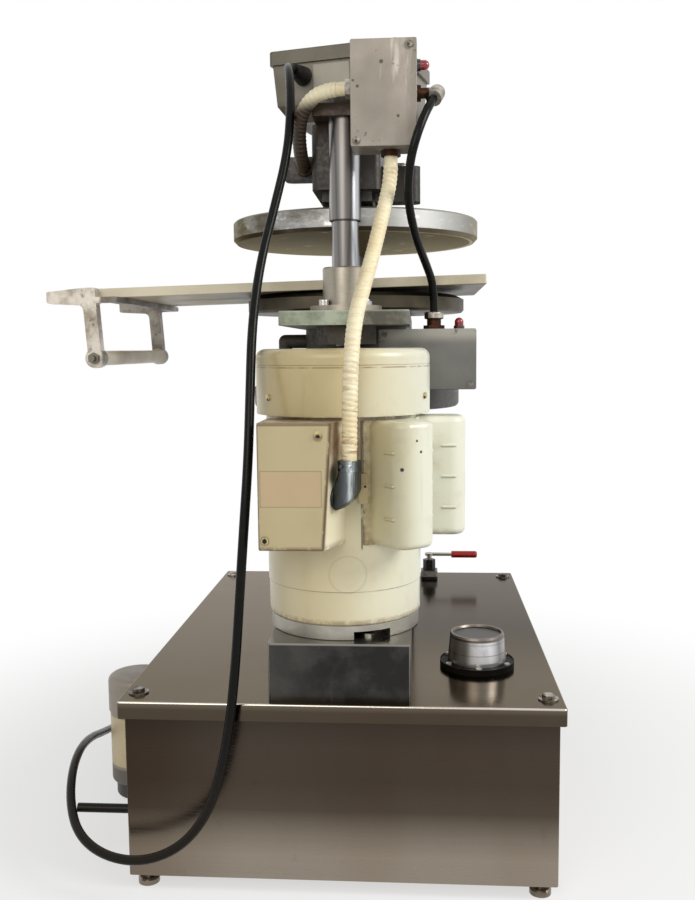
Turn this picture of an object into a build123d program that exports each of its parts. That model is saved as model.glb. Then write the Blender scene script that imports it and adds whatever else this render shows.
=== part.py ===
from build123d import *
import math
import os

# Hydraulic tart press. Driving dimensions are in millimetres. X runs to the right as seen from the
# motor side, Y runs towards the operator, Z is up. The origin is on the floor under the tank's centre.

# Clearances
RUNNING = 0.05          # radial clearance of a shaft in its bore
LOOSE = 0.4             # gap between curved faces of neighbouring pieces
BOLT_CLEARANCE = 0.4    # radial clearance of a bolt in its hole
CUT_OVER = 2.0          # how far a cutting shape runs past the face it cuts

# Tank, lid and feet
LID_WIDTH = 610.0
LID_DEPTH = 790.0
LID_THICKNESS = 3.0
LID_LIP = 24.0
LID_LIP_WALL = 2.5
LID_CORNER = 5.0
LID_EDGE_ROUND = 2.1
LID_OVERHANG = 8.0
TANK_HEIGHT = 250.0
TANK_WALL = 3.0
TANK_FLANGE = 24.0
TANK_CORNER = 4.0
FOOT_HEIGHT = 20.0
FOOT_PAD_RADIUS = 15.0
FOOT_PAD_HEIGHT = 9.0
FOOT_STEM_RADIUS = 6.0
FOOT_NUT_FLATS = 19.0
FOOT_NUT_HEIGHT = 6.0
FOOT_INSET_X = 30.0
FOOT_INSET_Y = 30.0

# Hex bolts: lid corners, adapter ring and head ears
BOLT_RADIUS = 4.0
BOLT_FLATS = 15.0
BOLT_HEAD = 5.0
BOLT_SHANK = 16.0
WASHER_RADIUS = 14.0
WASHER_THICKNESS = 2.0
LID_BOLT_INSET_X = 21.0
LID_BOLT_INSET_Y = 38.0

# Motor riser, adapter ring and motor
MOTOR_Y = -256.0
RISER_WIDTH = 195.0
RISER_REAR = 122.0      # from the motor axis to the riser's rear face
RISER_FRONT = 116.0     # from the motor axis to the riser's front face
RISER_HEIGHT = 80.0
RISER_SHEET = 3.0
RISER_BEND = 4.0
ADAPTER_RADIUS = 108.0
ADAPTER_BORE = 70.0
ADAPTER_HEIGHT = 21.0
ADAPTER_WINDOWS = 2
ADAPTER_WINDOW = 54.0
ADAPTER_WINDOW_HEIGHT = 12.0
ADAPTER_WINDOW_ANGLE = 25.0
ADAPTER_BOLT_CIRCLE = 90.0
FRAME_RADIUS = 111.0
FRAME_WALL = 6.0
ENDSHIELD_HEIGHT = 47.0
ENDSHIELD_RADIUS = 110.0
MOTOR_HEADROOM = 34.0   # from the fan cover up to the bed plate
SHAFT_RADIUS = 14.0
BEARING_RADIUS = 31.0
BEARING_WIDTH = 16.0
BEARING_SHELF = 8.0
BULKHEAD = 8.0
STATOR_BORE = 62.0
STATOR_END_ROOM = 58.0  # from the stator to each end of the frame
AIR_GAP = 0.8
ROTOR_END_GAP = 4.0     # from the rotor to each end of the stator
COUPLING_RADIUS = 24.0
COUPLING_HEIGHT = 34.0
FAN_COVER_RADIUS = 124.5
FAN_COVER_HEIGHT = 91.0
FAN_COVER_WALL = 2.5
FAN_COVER_ROUND = 13.0
FAN_COVER_BEAD = 23.0
FAN_COVER_BEAD_DEPTH = 1.2
FAN_SCREWS = 3
FAN_SCREW_ANGLE = 50.5      # first screw, to the left of the rear
FAN_SCREW_LIFT = 25.0       # above the cover's lower edge
FAN_SLOTS = 12
FAN_SLOT_WIDTH = 7.0
FAN_SLOT_INNER = 32.0
FAN_SLOT_OUTER = 84.0
FAN_BLADES = 7
FAN_RADIUS = 104.0
FAN_HUB_RADIUS = 26.0
FAN_HUB_HEIGHT = 30.0
FAN_PLATE = 4.0
FAN_BLADE_HEIGHT = 40.0
FAN_BLADE_THICKNESS = 3.0

# Conduit box and capacitor covers on the motor
BOX_ROOT = 33.0         # how far the box and covers start inside the frame before it is cut away
CONDUIT_BOX_LEFT = -99.5        # left edge of the box's face, across from the motor axis
CONDUIT_BOX_RIGHT_TOP = -3.5    # right edge of the face at its top
CONDUIT_BOX_RIGHT_LOW = -14.5   # right edge of the face at its bottom
CONDUIT_BOX_FOOT = 10.0         # where the slanted right wall meets the frame
CONDUIT_BOX_TOP_GAP = 4.0       # from the box's top to the frame's top edge
CONDUIT_BOX_REACH = 165.0
CONDUIT_BOX_WALL = 3.0
CONDUIT_BOX_COVER = 3.0
CONDUIT_BOX_BASE = 69.0         # from the frame's bottom edge to the box's bottom
CONDUIT_BOX_CORNER = 2.5
CAPACITOR_ANGLES = (-39.0, -89.0)
CAPACITOR_COVER_WIDTH = 66.0
CAPACITOR_COVER_TOP_GAP = 5.0
CAPACITOR_COVER_REACH = 175.0
CAPACITOR_COVER_WALL = 2.0
CAPACITOR_COVER_ROUND = 22.0
CAPACITOR_COVER_END = 9.0
CAPACITOR_FLANGE = 8.0
CAPACITOR_FLANGE_THICKNESS = 3.0
CAPACITOR_COVER_BASE = 65.0
CAPACITOR_RADIUS = 20.0
CAPACITOR_HEAD_ROOM = 36.0
CAPACITOR_LIFT = 20.0
ELBOW_RADIUS = 13.0
ELBOW_REACH = 21.0
ELBOW_RISE = 50.0
ELBOW_NUT_RADIUS = 15.5
ELBOW_NUT = 14.0
ELBOW_Z = 66.0              # from the conduit box's bottom to the elbow's centre
ELBOW_SHARE = 0.45          # how far back along the box's slanted wall the elbow sits

# Slotted cover screws
SCREW_RADIUS = 4.5
SCREW_HEAD = 2.6
SCREW_SHANK_RADIUS = 2.2
SCREW_SHANK = 7.0
SCREW_SLOT = 1.1
SCREW_INSET = 11.0

# Gear pump under the riser
PUMP_WIDTH = 96.0
PUMP_DEPTH = 84.0
PUMP_HEIGHT = 92.0
PUMP_HANGER = 58.0
PUMP_PIPE_RADIUS = 17.0
PUMP_PIPE = 90.0

# Filler breather
BREATHER_INSET_X = 109.0    # from the lid's right edge
BREATHER_INSET_Y = 180.0    # from the lid's rear edge
BREATHER_FLANGE_RADIUS = 55.5
BREATHER_GASKET = 3.0
BREATHER_FLANGE = 5.0
BREATHER_RIM = 1.2
BREATHER_NECK_RADIUS = 33.0
BREATHER_NECK_WALL = 3.0
BREATHER_NECK = 16.0
BREATHER_CAP_RADIUS = 43.5
BREATHER_CAP_TOP = 40.5
BREATHER_CAP_HEIGHT = 43.0
BREATHER_CAP_WALL = 2.0
BREATHER_SCREWS = 6

# Return filter beside the left wall
FILTER_Y = -105.0
FILTER_CAN_RADIUS = 48.0
FILTER_CAN_HEIGHT = 147.0
FILTER_CAN_ROUND = 6.0
FILTER_FOOT_RADIUS = 41.0
FILTER_FOOT = 26.0
FILTER_CAN_BASE = 10.0
FILTER_HEAD_RADIUS = 50.0
FILTER_HEAD_HEIGHT = 58.0
FILTER_HEAD_ROUND = 10.0
FILTER_GAP = 12.0
FILTER_PORT_RADIUS = 13.0

# Press: pedestal, cylinder, ram, bed and posts
PRESS_Y = 60.0
PEDESTAL_RADIUS = 100.0
PEDESTAL_WALL = 10.0
PEDESTAL_FOOT_RADIUS = 107.0
PEDESTAL_FOOT = 14.0
PEDESTAL_HEIGHT = 413.0
PEDESTAL_FLANGE_RADIUS = 179.0
PEDESTAL_FLANGE = 36.0
PEDESTAL_FLANGE_ROUND = 8.0
BARREL_RADIUS = 88.0
BARREL_HEIGHT = 99.0
BARREL_FLOOR = 12.0
RAM_RADIUS = 50.0
RAM_STROKE = 60.0
PRESS_GAP = 30.0        # between the platens with the ram right up
RAM_FLOOR_GAP = 4.0
BED_WIDTH = 192.0
BED_THICKNESS = 21.0
BED_MARGIN = 58.0
BED_CORNER = 10.0
TABLE_GAP = 5.0         # from the bed to the lower platen at rest
POST_REACH = 242.0      # from the press axis to a post's axis
POST_RADIUS = 20.5
POST_UPPER_RADIUS = 23.5
POST_LOWER_LENGTH = 133.0
POST_UPPER_LENGTH = 147.0
POST_GROOVE = 1.6
POST_GROOVE_DEPTH = 1.4
POST_STUD_RADIUS = 15.0
POST_NUT_FLATS = 78.0
POST_NUT_HEIGHT = 28.0
POST_TOP_NUT_FLATS = 46.0
POST_TOP_NUT = 20.0
COLLAR_RADIUS = 34.5
COLLAR_HEIGHT = 65.0
COLLAR_FLANGE_RADIUS = 54.0
COLLAR_FLANGE = 8.0
COLLAR_SCREWS = 4
COLLAR_SCREW_CIRCLE = 43.5
COLLAR_SCREW_RADIUS = 7.5
COLLAR_SCREW_HEAD = 9.0

# Platens and head
LOWER_PLATEN_RADIUS = 187.0
LOWER_PLATEN = 29.0
LOWER_PLATEN_BEVEL = 7.0
UPPER_PLATEN_RADIUS = 210.0
UPPER_PLATEN = 36.0
UPPER_PLATEN_BEVEL = 6.0
UPPER_PLATEN_UPPER_BEVEL = 3.0
INSULATOR_RADIUS = 118.0
INSULATOR = 8.0
HEAD_WIDTH = 104.0
HEAD_ROUND = 10.0
HEAD_FOOT_WIDTH = 76.0
HEAD_FOOT = 16.0
YOKE_WIDTH = 90.0
YOKE_THICKNESS = 18.0
YOKE_MARGIN = 31.0
HEAD_STAND_RADIUS = 55.0
HEAD_STAND = 12.0
LEFT_EAR_REACH = 48.0
LEFT_EAR_HEIGHT = 34.0
LEFT_EAR_LIFT = 40.0
RIGHT_EAR_REACH = 60.0
RIGHT_EAR_HEIGHT = 54.0
RIGHT_EAR_LIFT = 3.0
EAR_DEPTH = 40.0
EAR_ROUND = 12.0
EAR_REAR = 46.0         # from the head's rear end to the ear's rear face

# Board, handle frame, rod and grip
BOARD_LENGTH = 620.0
BOARD_WIDTH = 340.0
BOARD_THICKNESS = 15.0
BOARD_RIGHT = 215.0     # from the press axis to the board's right end
BOARD_TILT = 1.36       # the loaded left end droops by this many degrees
BOARD_REST = 0.4        # gap at the platen's left edge
HANDLE_THICKNESS = 20.0
HANDLE_OVERHANG = 20.0  # from the board's edge to the middle of a leg
HANDLE_LAP = 6.0        # a leg's inner edge beyond the board's left end
HANDLE_LEG_WIDTH = 21.0
HANDLE_DROP = 96.0
HANDLE_LEAN = 4.0
HANDLE_ARM = 58.0
HANDLE_ARM_TIP = 18.0
HANDLE_ARM_ROOT = 27.0
HANDLE_TAB = 34.0
HANDLE_TAB_THICKNESS = 9.0
HANDLE_TOP = 15.0       # the casting stands this far above the board's underside
HANDLE_ROUND = 3.0
HANDLE_CROOK = 10.0     # round where an arm joins its leg
ROD_RADIUS = 5.0
ROD_END = 9.0
ROD_NUT_FLATS = 16.0
ROD_NUT = 8.0
GRIP_RADIUS = 12.0
GRIP_END_RADIUS = 15.5
GRIP_FLARE = 26.0
GRIP_SIDE_GAP = 0.6

# Control box on the head
CONTROL_YAW = -15.0
CONTROL_Y = -40.0       # from the press axis to the box's centre
CONTROL_WIDTH = 206.0
CONTROL_KNEE_WIDTH = 196.0
CONTROL_BASE_WIDTH = 160.0
CONTROL_DEPTH = 192.0
CONTROL_KNEE_DEPTH = 182.0
CONTROL_BASE_DEPTH = 150.0
CONTROL_HEIGHT = 88.0
CONTROL_KNEE = 25.0     # height of the sloped foot of the walls
CONTROL_WALL = 4.0
CONTROL_LID_LIP = 5.0
CONTROL_LID = 22.0
CONTROL_LID_ROUND = 3.0
CONTROL_GLAND_X = -50.0
CONTROL_GLAND_Z = 67.0

# Junction boxes
UPPER_BOX_X = 61.0
UPPER_BOX_WIDTH = 92.0
UPPER_BOX_DEPTH = 58.0
UPPER_BOX_HEIGHT = 144.0
UPPER_BOX_LIFT = -57.0  # from the yoke's underside to the box's bottom
LOWER_BOX_X = 122.5
LOWER_BOX_WIDTH = 151.0
LOWER_BOX_DEPTH = 56.0
LOWER_BOX_HEIGHT = 94.0
LOWER_BOX_REAR = -134.0
BOX_WALL = 2.5
BOX_COVER = 3.0
BOX_CORNER = 3.0

# Pilot lamps
LAMP_RADIUS = 7.0
LAMP_BEZEL_RADIUS = 8.5
LAMP_BEZEL = 5.0
UPPER_LAMP_LIFT = 29.0  # down from the upper box's top edge
LOWER_LAMP_X = 50.0     # from the lower box's centre

# Glands and conduits
GLAND_RADIUS = 15.0
GLAND_BASE_RADIUS = 11.0
GLAND_HEIGHT = 26.0
GLAND_COLLAR = 11.0
UPPER_GLAND_RADIUS = 11.5
UPPER_NIPPLE_RADIUS = 7.5
GLAND_SIDE_X = 10.5     # lower gland's place along the box
GLAND_INSET = 15.5      # lower gland's distance in front of the box's rear face
ELBOW_GLAND_Z = 77.0    # upper elbow above the box's bottom
ELBOW_GLAND_REACH = 28.0
ELBOW_GLAND_DROP = 17.0
CONDUIT_RADIUS = 10.5
CONDUIT_ROOT = 9.6
CONDUIT_BORE = 7.5
CONDUIT_RIB_PITCH = 6.8
CONDUIT_NUT_RADIUS = 14.0
CONDUIT_NUT = 9.0
CONDUIT_STRAIGHT = 30.0  # straight run at each end of the long conduit
LONG_CONDUIT_SIDE = 9.0  # from the upper box's centre
SHORT_CONDUIT_RISE = 86.0   # above the upper box's bottom
SHORT_CONDUIT_SIDE = 15.0   # from the head's side wall to the conduit's end
LINK_RADIUS = 6.2

# Power cord, coil, plug and clip
CORD_RADIUS = 6.5
BOOT_LENGTH = 40.0
BOOT_ROOT_RADIUS = 15.0
BOOT_TIP_RADIUS = 9.5
COIL_X = -385.0
COIL_Y = 250.0
COIL_RADIUS = 72.0
COIL_TURNS = 2
COIL_STEP = 14.4
COIL_LEAD = 13.0
COIL_TAIL = 42.0
CORD_LIFT = 0.1         # under the cord where it lies on the floor
PLUG_RADIUS = 19.0
PLUG_LENGTH = 46.0
PLUG_TAIL = 18.0
PLUG_NECK_RADIUS = 8.0
PLUG_BLADE_LENGTH = 18.0
PLUG_BLADE_WIDTH = 6.5
PLUG_BLADE_THICKNESS = 1.6
PLUG_BLADE_SPACING = 12.7
CLIP_INSET = 42.0       # from the tank's rear wall
CLIP_Z = 96.0
CLIP_REACH = 85.0
CLIP_RADIUS = 6.5
CLIP_PLATE_RADIUS = 13.0
CLIP_PLATE = 4.0

# Hand valve on the lid
VALVE_INSET_X = 174.0   # from the lid's right edge
VALVE_INSET_Y = 50.0    # from the lid's front edge
VALVE_BASE = 34.0
VALVE_BASE_HEIGHT = 17.5
VALVE_NUT_FLATS = 22.0
VALVE_NUT_HEIGHT = 22.0
VALVE_STEM_RADIUS = 5.0
VALVE_STEM = 13.0
LEVER_THICKNESS = 5.0
LEVER_WIDTH = 12.0
LEVER_LENGTH = 92.0
LEVER_GRIP_LENGTH = 46.0
LEVER_GRIP_RADIUS = 7.0
LEVER_HUB_RADIUS = 9.0

# Pressure hose from the lid to the cylinder
HOSE_RADIUS = 9.0
HOSE_ELBOW_RADIUS = 12.0
HOSE_ELBOW_REACH = 37.0 # from the barrel to the hose
HOSE_ELBOW_DROP = 26.0
HOSE_ELBOW_LIFT = 78.0  # elbow above the barrel's foot
HOSE_HOLE_GAP = 4.0
HOSE_FITTING_X = -135.0
HOSE_FITTING_FLATS = 26.0
HOSE_FITTING = 22.0

# Operator's controls
KNOB_RADIUS = 19.0
KNOB_HEIGHT = 17.0
KNOB_X = -45.0
KNOB_SHAFT_RADIUS = 3.0
BUTTON_RADIUS = 13.0
BUTTON_HEIGHT = 12.0
BUTTON_X = 45.0
BUTTON_STEM_RADIUS = 5.0
BUTTON_GUARD_RADIUS = 19.0
BUTTON_GUARD = 7.0
CONTROL_PANEL_Z = 54.0

# Levels and places worked out from the dimensions above
TANK_BOTTOM = FOOT_HEIGHT
TANK_TOP = TANK_BOTTOM + TANK_HEIGHT
LID_TOP = TANK_TOP + LID_THICKNESS
TANK_WIDTH = LID_WIDTH - 2 * LID_OVERHANG
TANK_DEPTH = LID_DEPTH - 2 * LID_OVERHANG
TANK_LEFT = -TANK_WIDTH / 2
BREATHER_X = LID_WIDTH / 2 - BREATHER_INSET_X
BREATHER_Y = -LID_DEPTH / 2 + BREATHER_INSET_Y
VALVE_X = LID_WIDTH / 2 - VALVE_INSET_X
VALVE_Y = LID_DEPTH / 2 - VALVE_INSET_Y
RISER_TOP = LID_TOP + RISER_HEIGHT
MOTOR_ROOM = PEDESTAL_HEIGHT + BARREL_HEIGHT - RISER_HEIGHT - ADAPTER_HEIGHT - MOTOR_HEADROOM
FRAME_HEIGHT = MOTOR_ROOM - ENDSHIELD_HEIGHT - FAN_COVER_HEIGHT
STATOR_HEIGHT = FRAME_HEIGHT - 2 * STATOR_END_ROOM
ROTOR_HEIGHT = STATOR_HEIGHT - 2 * ROTOR_END_GAP
CONDUIT_BOX_HEIGHT = FRAME_HEIGHT - CONDUIT_BOX_BASE - CONDUIT_BOX_TOP_GAP
CAPACITOR_COVER_HEIGHT = FRAME_HEIGHT - CAPACITOR_COVER_BASE - CAPACITOR_COVER_TOP_GAP
CAPACITOR_LENGTH = CAPACITOR_COVER_HEIGHT - CAPACITOR_LIFT - CAPACITOR_HEAD_ROOM
ADAPTER_TOP = RISER_TOP + ADAPTER_HEIGHT
FRAME_BOTTOM = ADAPTER_TOP + ENDSHIELD_HEIGHT
FRAME_TOP = FRAME_BOTTOM + FRAME_HEIGHT
FAN_TOP = FRAME_TOP + FAN_COVER_HEIGHT
PEDESTAL_TOP = LID_TOP + PEDESTAL_HEIGHT
BARREL_TOP = PEDESTAL_TOP + BARREL_HEIGHT
BED_TOP = BARREL_TOP + BED_THICKNESS
TABLE_BOTTOM = BED_TOP + TABLE_GAP
TABLE_TOP = TABLE_BOTTOM + LOWER_PLATEN
PLATEN_EDGE = LOWER_PLATEN_RADIUS - 2 * LOWER_PLATEN_BEVEL
REAR_POST_Y = PRESS_Y - POST_REACH
FRONT_POST_Y = PRESS_Y + POST_REACH
POST_STEP = BED_TOP + POST_LOWER_LENGTH
YOKE_BOTTOM = POST_STEP + POST_UPPER_LENGTH
YOKE_TOP = YOKE_BOTTOM + YOKE_THICKNESS
YOKE_REAR = REAR_POST_Y - YOKE_MARGIN
YOKE_FRONT = FRONT_POST_Y + YOKE_MARGIN
PLATEN_BOTTOM = TABLE_TOP + RAM_STROKE + PRESS_GAP
PLATEN_TOP = PLATEN_BOTTOM + UPPER_PLATEN
HEAD_BOTTOM = PLATEN_TOP + INSULATOR
HEAD_REAR = REAR_POST_Y + POST_UPPER_RADIUS + LOOSE
HEAD_FRONT = FRONT_POST_Y - POST_UPPER_RADIUS - LOOSE
EAR_FACE = HEAD_REAR + EAR_REAR
LEFT_EAR_LOW = HEAD_BOTTOM + LEFT_EAR_LIFT
HOSE_X = -BARREL_RADIUS - HOSE_ELBOW_REACH
HOSE_ELBOW_Z = PEDESTAL_TOP + HOSE_ELBOW_LIFT
CONTROL_BOTTOM = YOKE_TOP + HEAD_STAND
CONTROL_TOP = CONTROL_BOTTOM + CONTROL_HEIGHT
UPPER_BOX_FRONT = YOKE_REAR
UPPER_BOX_REAR = UPPER_BOX_FRONT - UPPER_BOX_DEPTH
UPPER_BOX_Y = UPPER_BOX_FRONT - UPPER_BOX_DEPTH / 2
UPPER_BOX_BOTTOM = YOKE_BOTTOM + UPPER_BOX_LIFT
UPPER_BOX_RIGHT = UPPER_BOX_X + UPPER_BOX_WIDTH / 2
UPPER_BOX_LEFT = UPPER_BOX_X - UPPER_BOX_WIDTH / 2
LOWER_BOX_BOTTOM = PEDESTAL_TOP
LOWER_BOX_TOP = LOWER_BOX_BOTTOM + LOWER_BOX_HEIGHT


def box_between(x0, x1, y0, y1, z0, z1):
    """A block between two corners."""
    return Pos((x0 + x1) / 2, (y0 + y1) / 2, (z0 + z1) / 2) * Box(x1 - x0, y1 - y0, z1 - z0)


def drum(x, y, radius, z0, z1):
    """A round bar standing along Z."""
    return Pos(x, y, (z0 + z1) / 2) * Cylinder(radius, z1 - z0)


def bar(start, direction, radius, length):
    """A round bar from a point along any direction."""
    plane = Plane(origin=start, z_dir=direction)
    return extrude(plane * Circle(radius), length)


def hexagon(x, y, flats, z0, z1):
    """A hexagonal prism standing along Z."""
    outline = Pos(x, y, z0) * RegularPolygon(flats / 2, 6, major_radius=False)
    return extrude(outline, z1 - z0)


def turned(x, y, profile):
    """A solid turned about a vertical axis from (radius, height) corners."""
    outline = Polyline(*[(r, 0, z) for r, z in profile], close=True)
    return Pos(x, y, 0) * revolve(make_face(outline), Axis.Z)


def group(solids):
    """Separate solids kept together as one node."""
    return Compound(children=[s.solid() for s in solids])


def motor_place(angle):
    """A frame on the motor axis whose X axis points out of the motor at an angle from the rear.

    A positive angle turns to the left as seen from the motor side.
    """
    return Pos(0, MOTOR_Y, 0) * Rot(0, 0, -90 - angle)


def control_place():
    """The control box's own frame: its centre on the head, turned by its yaw."""
    return Pos(0, PRESS_Y + CONTROL_Y, 0) * Rot(0, 0, CONTROL_YAW)


# Tank, lid, feet and bolts
def corner_points(half_x, half_y):
    return [(sx * half_x, sy * half_y) for sx in (-1, 1) for sy in (-1, 1)]


LID_BOLTS = corner_points(LID_WIDTH / 2 - LID_BOLT_INSET_X, LID_DEPTH / 2 - LID_BOLT_INSET_Y)
FEET = corner_points(LID_WIDTH / 2 - FOOT_INSET_X, LID_DEPTH / 2 - FOOT_INSET_Y)


def make_tank_body():
    half_x = TANK_WIDTH / 2
    half_y = TANK_DEPTH / 2
    outer = box_between(-half_x, half_x, -half_y, half_y, TANK_BOTTOM, TANK_TOP)
    outer = fillet(outer.edges().filter_by(Axis.Z), TANK_CORNER)
    inner_x = half_x - TANK_WALL
    inner_y = half_y - TANK_WALL
    under = TANK_TOP - TANK_WALL
    inside = box_between(-inner_x, inner_x, -inner_y, inner_y, TANK_BOTTOM + TANK_WALL, under)
    mouth_x = inner_x - TANK_FLANGE
    mouth_y = inner_y - TANK_FLANGE
    mouth = box_between(-mouth_x, mouth_x, -mouth_y, mouth_y, under - CUT_OVER, TANK_TOP + CUT_OVER)
    body = outer - inside - mouth
    for x, y in LID_BOLTS:
        body -= drum(x, y, BOLT_RADIUS + BOLT_CLEARANCE, under - CUT_OVER, TANK_TOP + CUT_OVER)
    return body


def make_tank_lid():
    half_x = LID_WIDTH / 2
    half_y = LID_DEPTH / 2
    lid = box_between(-half_x, half_x, -half_y, half_y, LID_TOP - LID_LIP, LID_TOP)
    lid = fillet(lid.edges().filter_by(Axis.Z), LID_CORNER)
    lid = fillet(lid.faces().sort_by(Axis.Z)[-1].edges(), LID_EDGE_ROUND)
    room_x = half_x - LID_LIP_WALL
    room_y = half_y - LID_LIP_WALL
    lid -= box_between(-room_x, room_x, -room_y, room_y, LID_TOP - LID_LIP - CUT_OVER, TANK_TOP)
    for x, y in LID_BOLTS:
        lid -= drum(x, y, BOLT_RADIUS + BOLT_CLEARANCE, TANK_TOP - CUT_OVER, LID_TOP + CUT_OVER)
    lid -= drum(0, MOTOR_Y, PUMP_WIDTH / 2 + PUMP_PIPE_RADIUS, TANK_TOP - CUT_OVER, LID_TOP + CUT_OVER)
    neck = BREATHER_NECK_RADIUS + LOOSE
    lid -= drum(BREATHER_X, BREATHER_Y, neck, TANK_TOP - CUT_OVER, LID_TOP + CUT_OVER)
    return lid


def make_tank_feet():
    feet = []
    for x, y in FEET:
        pad = drum(x, y, FOOT_PAD_RADIUS, 0, FOOT_PAD_HEIGHT)
        pad = chamfer(pad.edges().group_by(Axis.Z)[-1], FOOT_PAD_HEIGHT / 4)
        stem = drum(x, y, FOOT_STEM_RADIUS, FOOT_PAD_HEIGHT, FOOT_HEIGHT)
        nut = hexagon(x, y, FOOT_NUT_FLATS, FOOT_HEIGHT - FOOT_NUT_HEIGHT, FOOT_HEIGHT)
        feet.append(pad + stem + nut)
    return group(feet)


def hex_bolt(x, y, seat, washer=True):
    """A bolt that points down, with its head above the seat."""
    under = seat + (WASHER_THICKNESS if washer else 0)
    head = hexagon(x, y, BOLT_FLATS, under, under + BOLT_HEAD)
    head = chamfer(head.edges().group_by(Axis.Z)[-1], BOLT_HEAD / 8)
    bolt = head + drum(x, y, BOLT_RADIUS, seat - BOLT_SHANK, under)
    if washer:
        bolt += drum(x, y, WASHER_RADIUS, seat, under)
    return bolt


def adapter_angles():
    """Where the adapter's windows and bolts are, counted to the left from the rear."""
    return [-ADAPTER_WINDOW_ANGLE - 360 / ADAPTER_WINDOWS * i for i in range(ADAPTER_WINDOWS)]


def adapter_bolt_points():
    places = [motor_place(angle) * Pos(ADAPTER_BOLT_CIRCLE, 0, 0) for angle in adapter_angles()]
    return [(place.position.X, place.position.Y) for place in places]


def make_hex_bolts():
    bolts = [hex_bolt(x, y, LID_TOP) for x, y in LID_BOLTS]
    bolts += [hex_bolt(x, y, RISER_TOP, washer=False) for x, y in adapter_bolt_points()]
    bolts += [hex_bolt(x, y, top) for x, y, top in ear_holes()]
    return group(bolts)


# Riser, adapter ring and pump
def make_motor_riser():
    half = RISER_WIDTH / 2
    rear = MOTOR_Y - RISER_REAR
    front = MOTOR_Y + RISER_FRONT
    outer = box_between(-half, half, rear, front, LID_TOP, RISER_TOP)
    outer = fillet(outer.edges().filter_by(Axis.Z), RISER_BEND)
    inner = box_between(
        -half + RISER_SHEET,
        half - RISER_SHEET,
        rear + RISER_SHEET,
        front - RISER_SHEET,
        LID_TOP - CUT_OVER,
        RISER_TOP - RISER_SHEET,
    )
    riser = outer - inner
    under = RISER_TOP - RISER_SHEET - CUT_OVER
    riser -= drum(0, MOTOR_Y, PUMP_HANGER / 2 + LOOSE, under, RISER_TOP + CUT_OVER)
    for x, y in adapter_bolt_points():
        riser -= drum(x, y, BOLT_RADIUS + BOLT_CLEARANCE, under, RISER_TOP + CUT_OVER)
    return riser


def make_pump_adapter():
    ring = drum(0, MOTOR_Y, ADAPTER_RADIUS, RISER_TOP, ADAPTER_TOP)
    ring = chamfer(ring.edges().filter_by(GeomType.CIRCLE), ADAPTER_HEIGHT / 20)
    ring -= drum(0, MOTOR_Y, ADAPTER_BORE, RISER_TOP - CUT_OVER, ADAPTER_TOP + CUT_OVER)
    window = box_between(
        ADAPTER_BORE - CUT_OVER,
        ADAPTER_RADIUS + CUT_OVER,
        -ADAPTER_WINDOW / 2,
        ADAPTER_WINDOW / 2,
        RISER_TOP - CUT_OVER,
        RISER_TOP + ADAPTER_WINDOW_HEIGHT,
    )
    for angle in adapter_angles():
        ring -= motor_place(angle) * window
    return ring


def make_gear_pump():
    flange_top = RISER_TOP - RISER_SHEET
    body_top = LID_TOP + PUMP_HANGER / 2
    body = box_between(
        -PUMP_WIDTH / 2,
        PUMP_WIDTH / 2,
        MOTOR_Y - PUMP_DEPTH / 2,
        MOTOR_Y + PUMP_DEPTH / 2,
        body_top - PUMP_HEIGHT,
        body_top,
    )
    body = fillet(body.edges().filter_by(Axis.Z), PUMP_DEPTH / 5)
    hanger = drum(0, MOTOR_Y, PUMP_HANGER / 2, body_top, RISER_TOP)
    plate = drum(0, MOTOR_Y, PUMP_WIDTH / 2, flange_top - RISER_SHEET * 2, flange_top)
    low = body_top - PUMP_HEIGHT
    suction = drum(PUMP_WIDTH / 4, MOTOR_Y, PUMP_PIPE_RADIUS, low - PUMP_PIPE, low)
    pump = body + hanger + plate + suction
    socket_low = ADAPTER_TOP - COUPLING_HEIGHT - LOOSE
    return pump - drum(0, MOTOR_Y, COUPLING_RADIUS + LOOSE, socket_low, RISER_TOP + CUT_OVER)


# Motor
def make_motor_endshield():
    shield = drum(0, MOTOR_Y, ENDSHIELD_RADIUS, ADAPTER_TOP, FRAME_BOTTOM)
    shield = fillet(shield.edges().group_by(Axis.Z)[0], ENDSHIELD_HEIGHT / 15)
    hollow_bottom = ADAPTER_TOP + BEARING_WIDTH + BEARING_SHELF
    shield -= drum(0, MOTOR_Y, ENDSHIELD_RADIUS - FRAME_WALL * 2, hollow_bottom, FRAME_BOTTOM + CUT_OVER)
    shield -= drum(0, MOTOR_Y, BEARING_RADIUS, ADAPTER_TOP + BEARING_SHELF, hollow_bottom + CUT_OVER)
    shield -= drum(0, MOTOR_Y, SHAFT_RADIUS + LOOSE, ADAPTER_TOP - CUT_OVER, FRAME_BOTTOM)
    return shield


def make_motor_frame():
    frame = drum(0, MOTOR_Y, FRAME_RADIUS, FRAME_BOTTOM, FRAME_TOP)
    under = FRAME_TOP - BULKHEAD
    frame -= drum(0, MOTOR_Y, FRAME_RADIUS - FRAME_WALL, FRAME_BOTTOM - CUT_OVER, under)
    boss = drum(0, MOTOR_Y, BEARING_RADIUS + FRAME_WALL, under - BEARING_WIDTH, under)
    frame += boss
    frame -= drum(0, MOTOR_Y, BEARING_RADIUS, under - BEARING_WIDTH - CUT_OVER, under)
    frame -= drum(0, MOTOR_Y, SHAFT_RADIUS + LOOSE, under - CUT_OVER, FRAME_TOP + CUT_OVER)
    return frame


def make_motor_stator():
    middle = (FRAME_BOTTOM + FRAME_TOP) / 2
    low = middle - STATOR_HEIGHT / 2
    high = middle + STATOR_HEIGHT / 2
    core = drum(0, MOTOR_Y, FRAME_RADIUS - FRAME_WALL, low, high)
    return core - drum(0, MOTOR_Y, STATOR_BORE, low - CUT_OVER, high + CUT_OVER)


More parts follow.
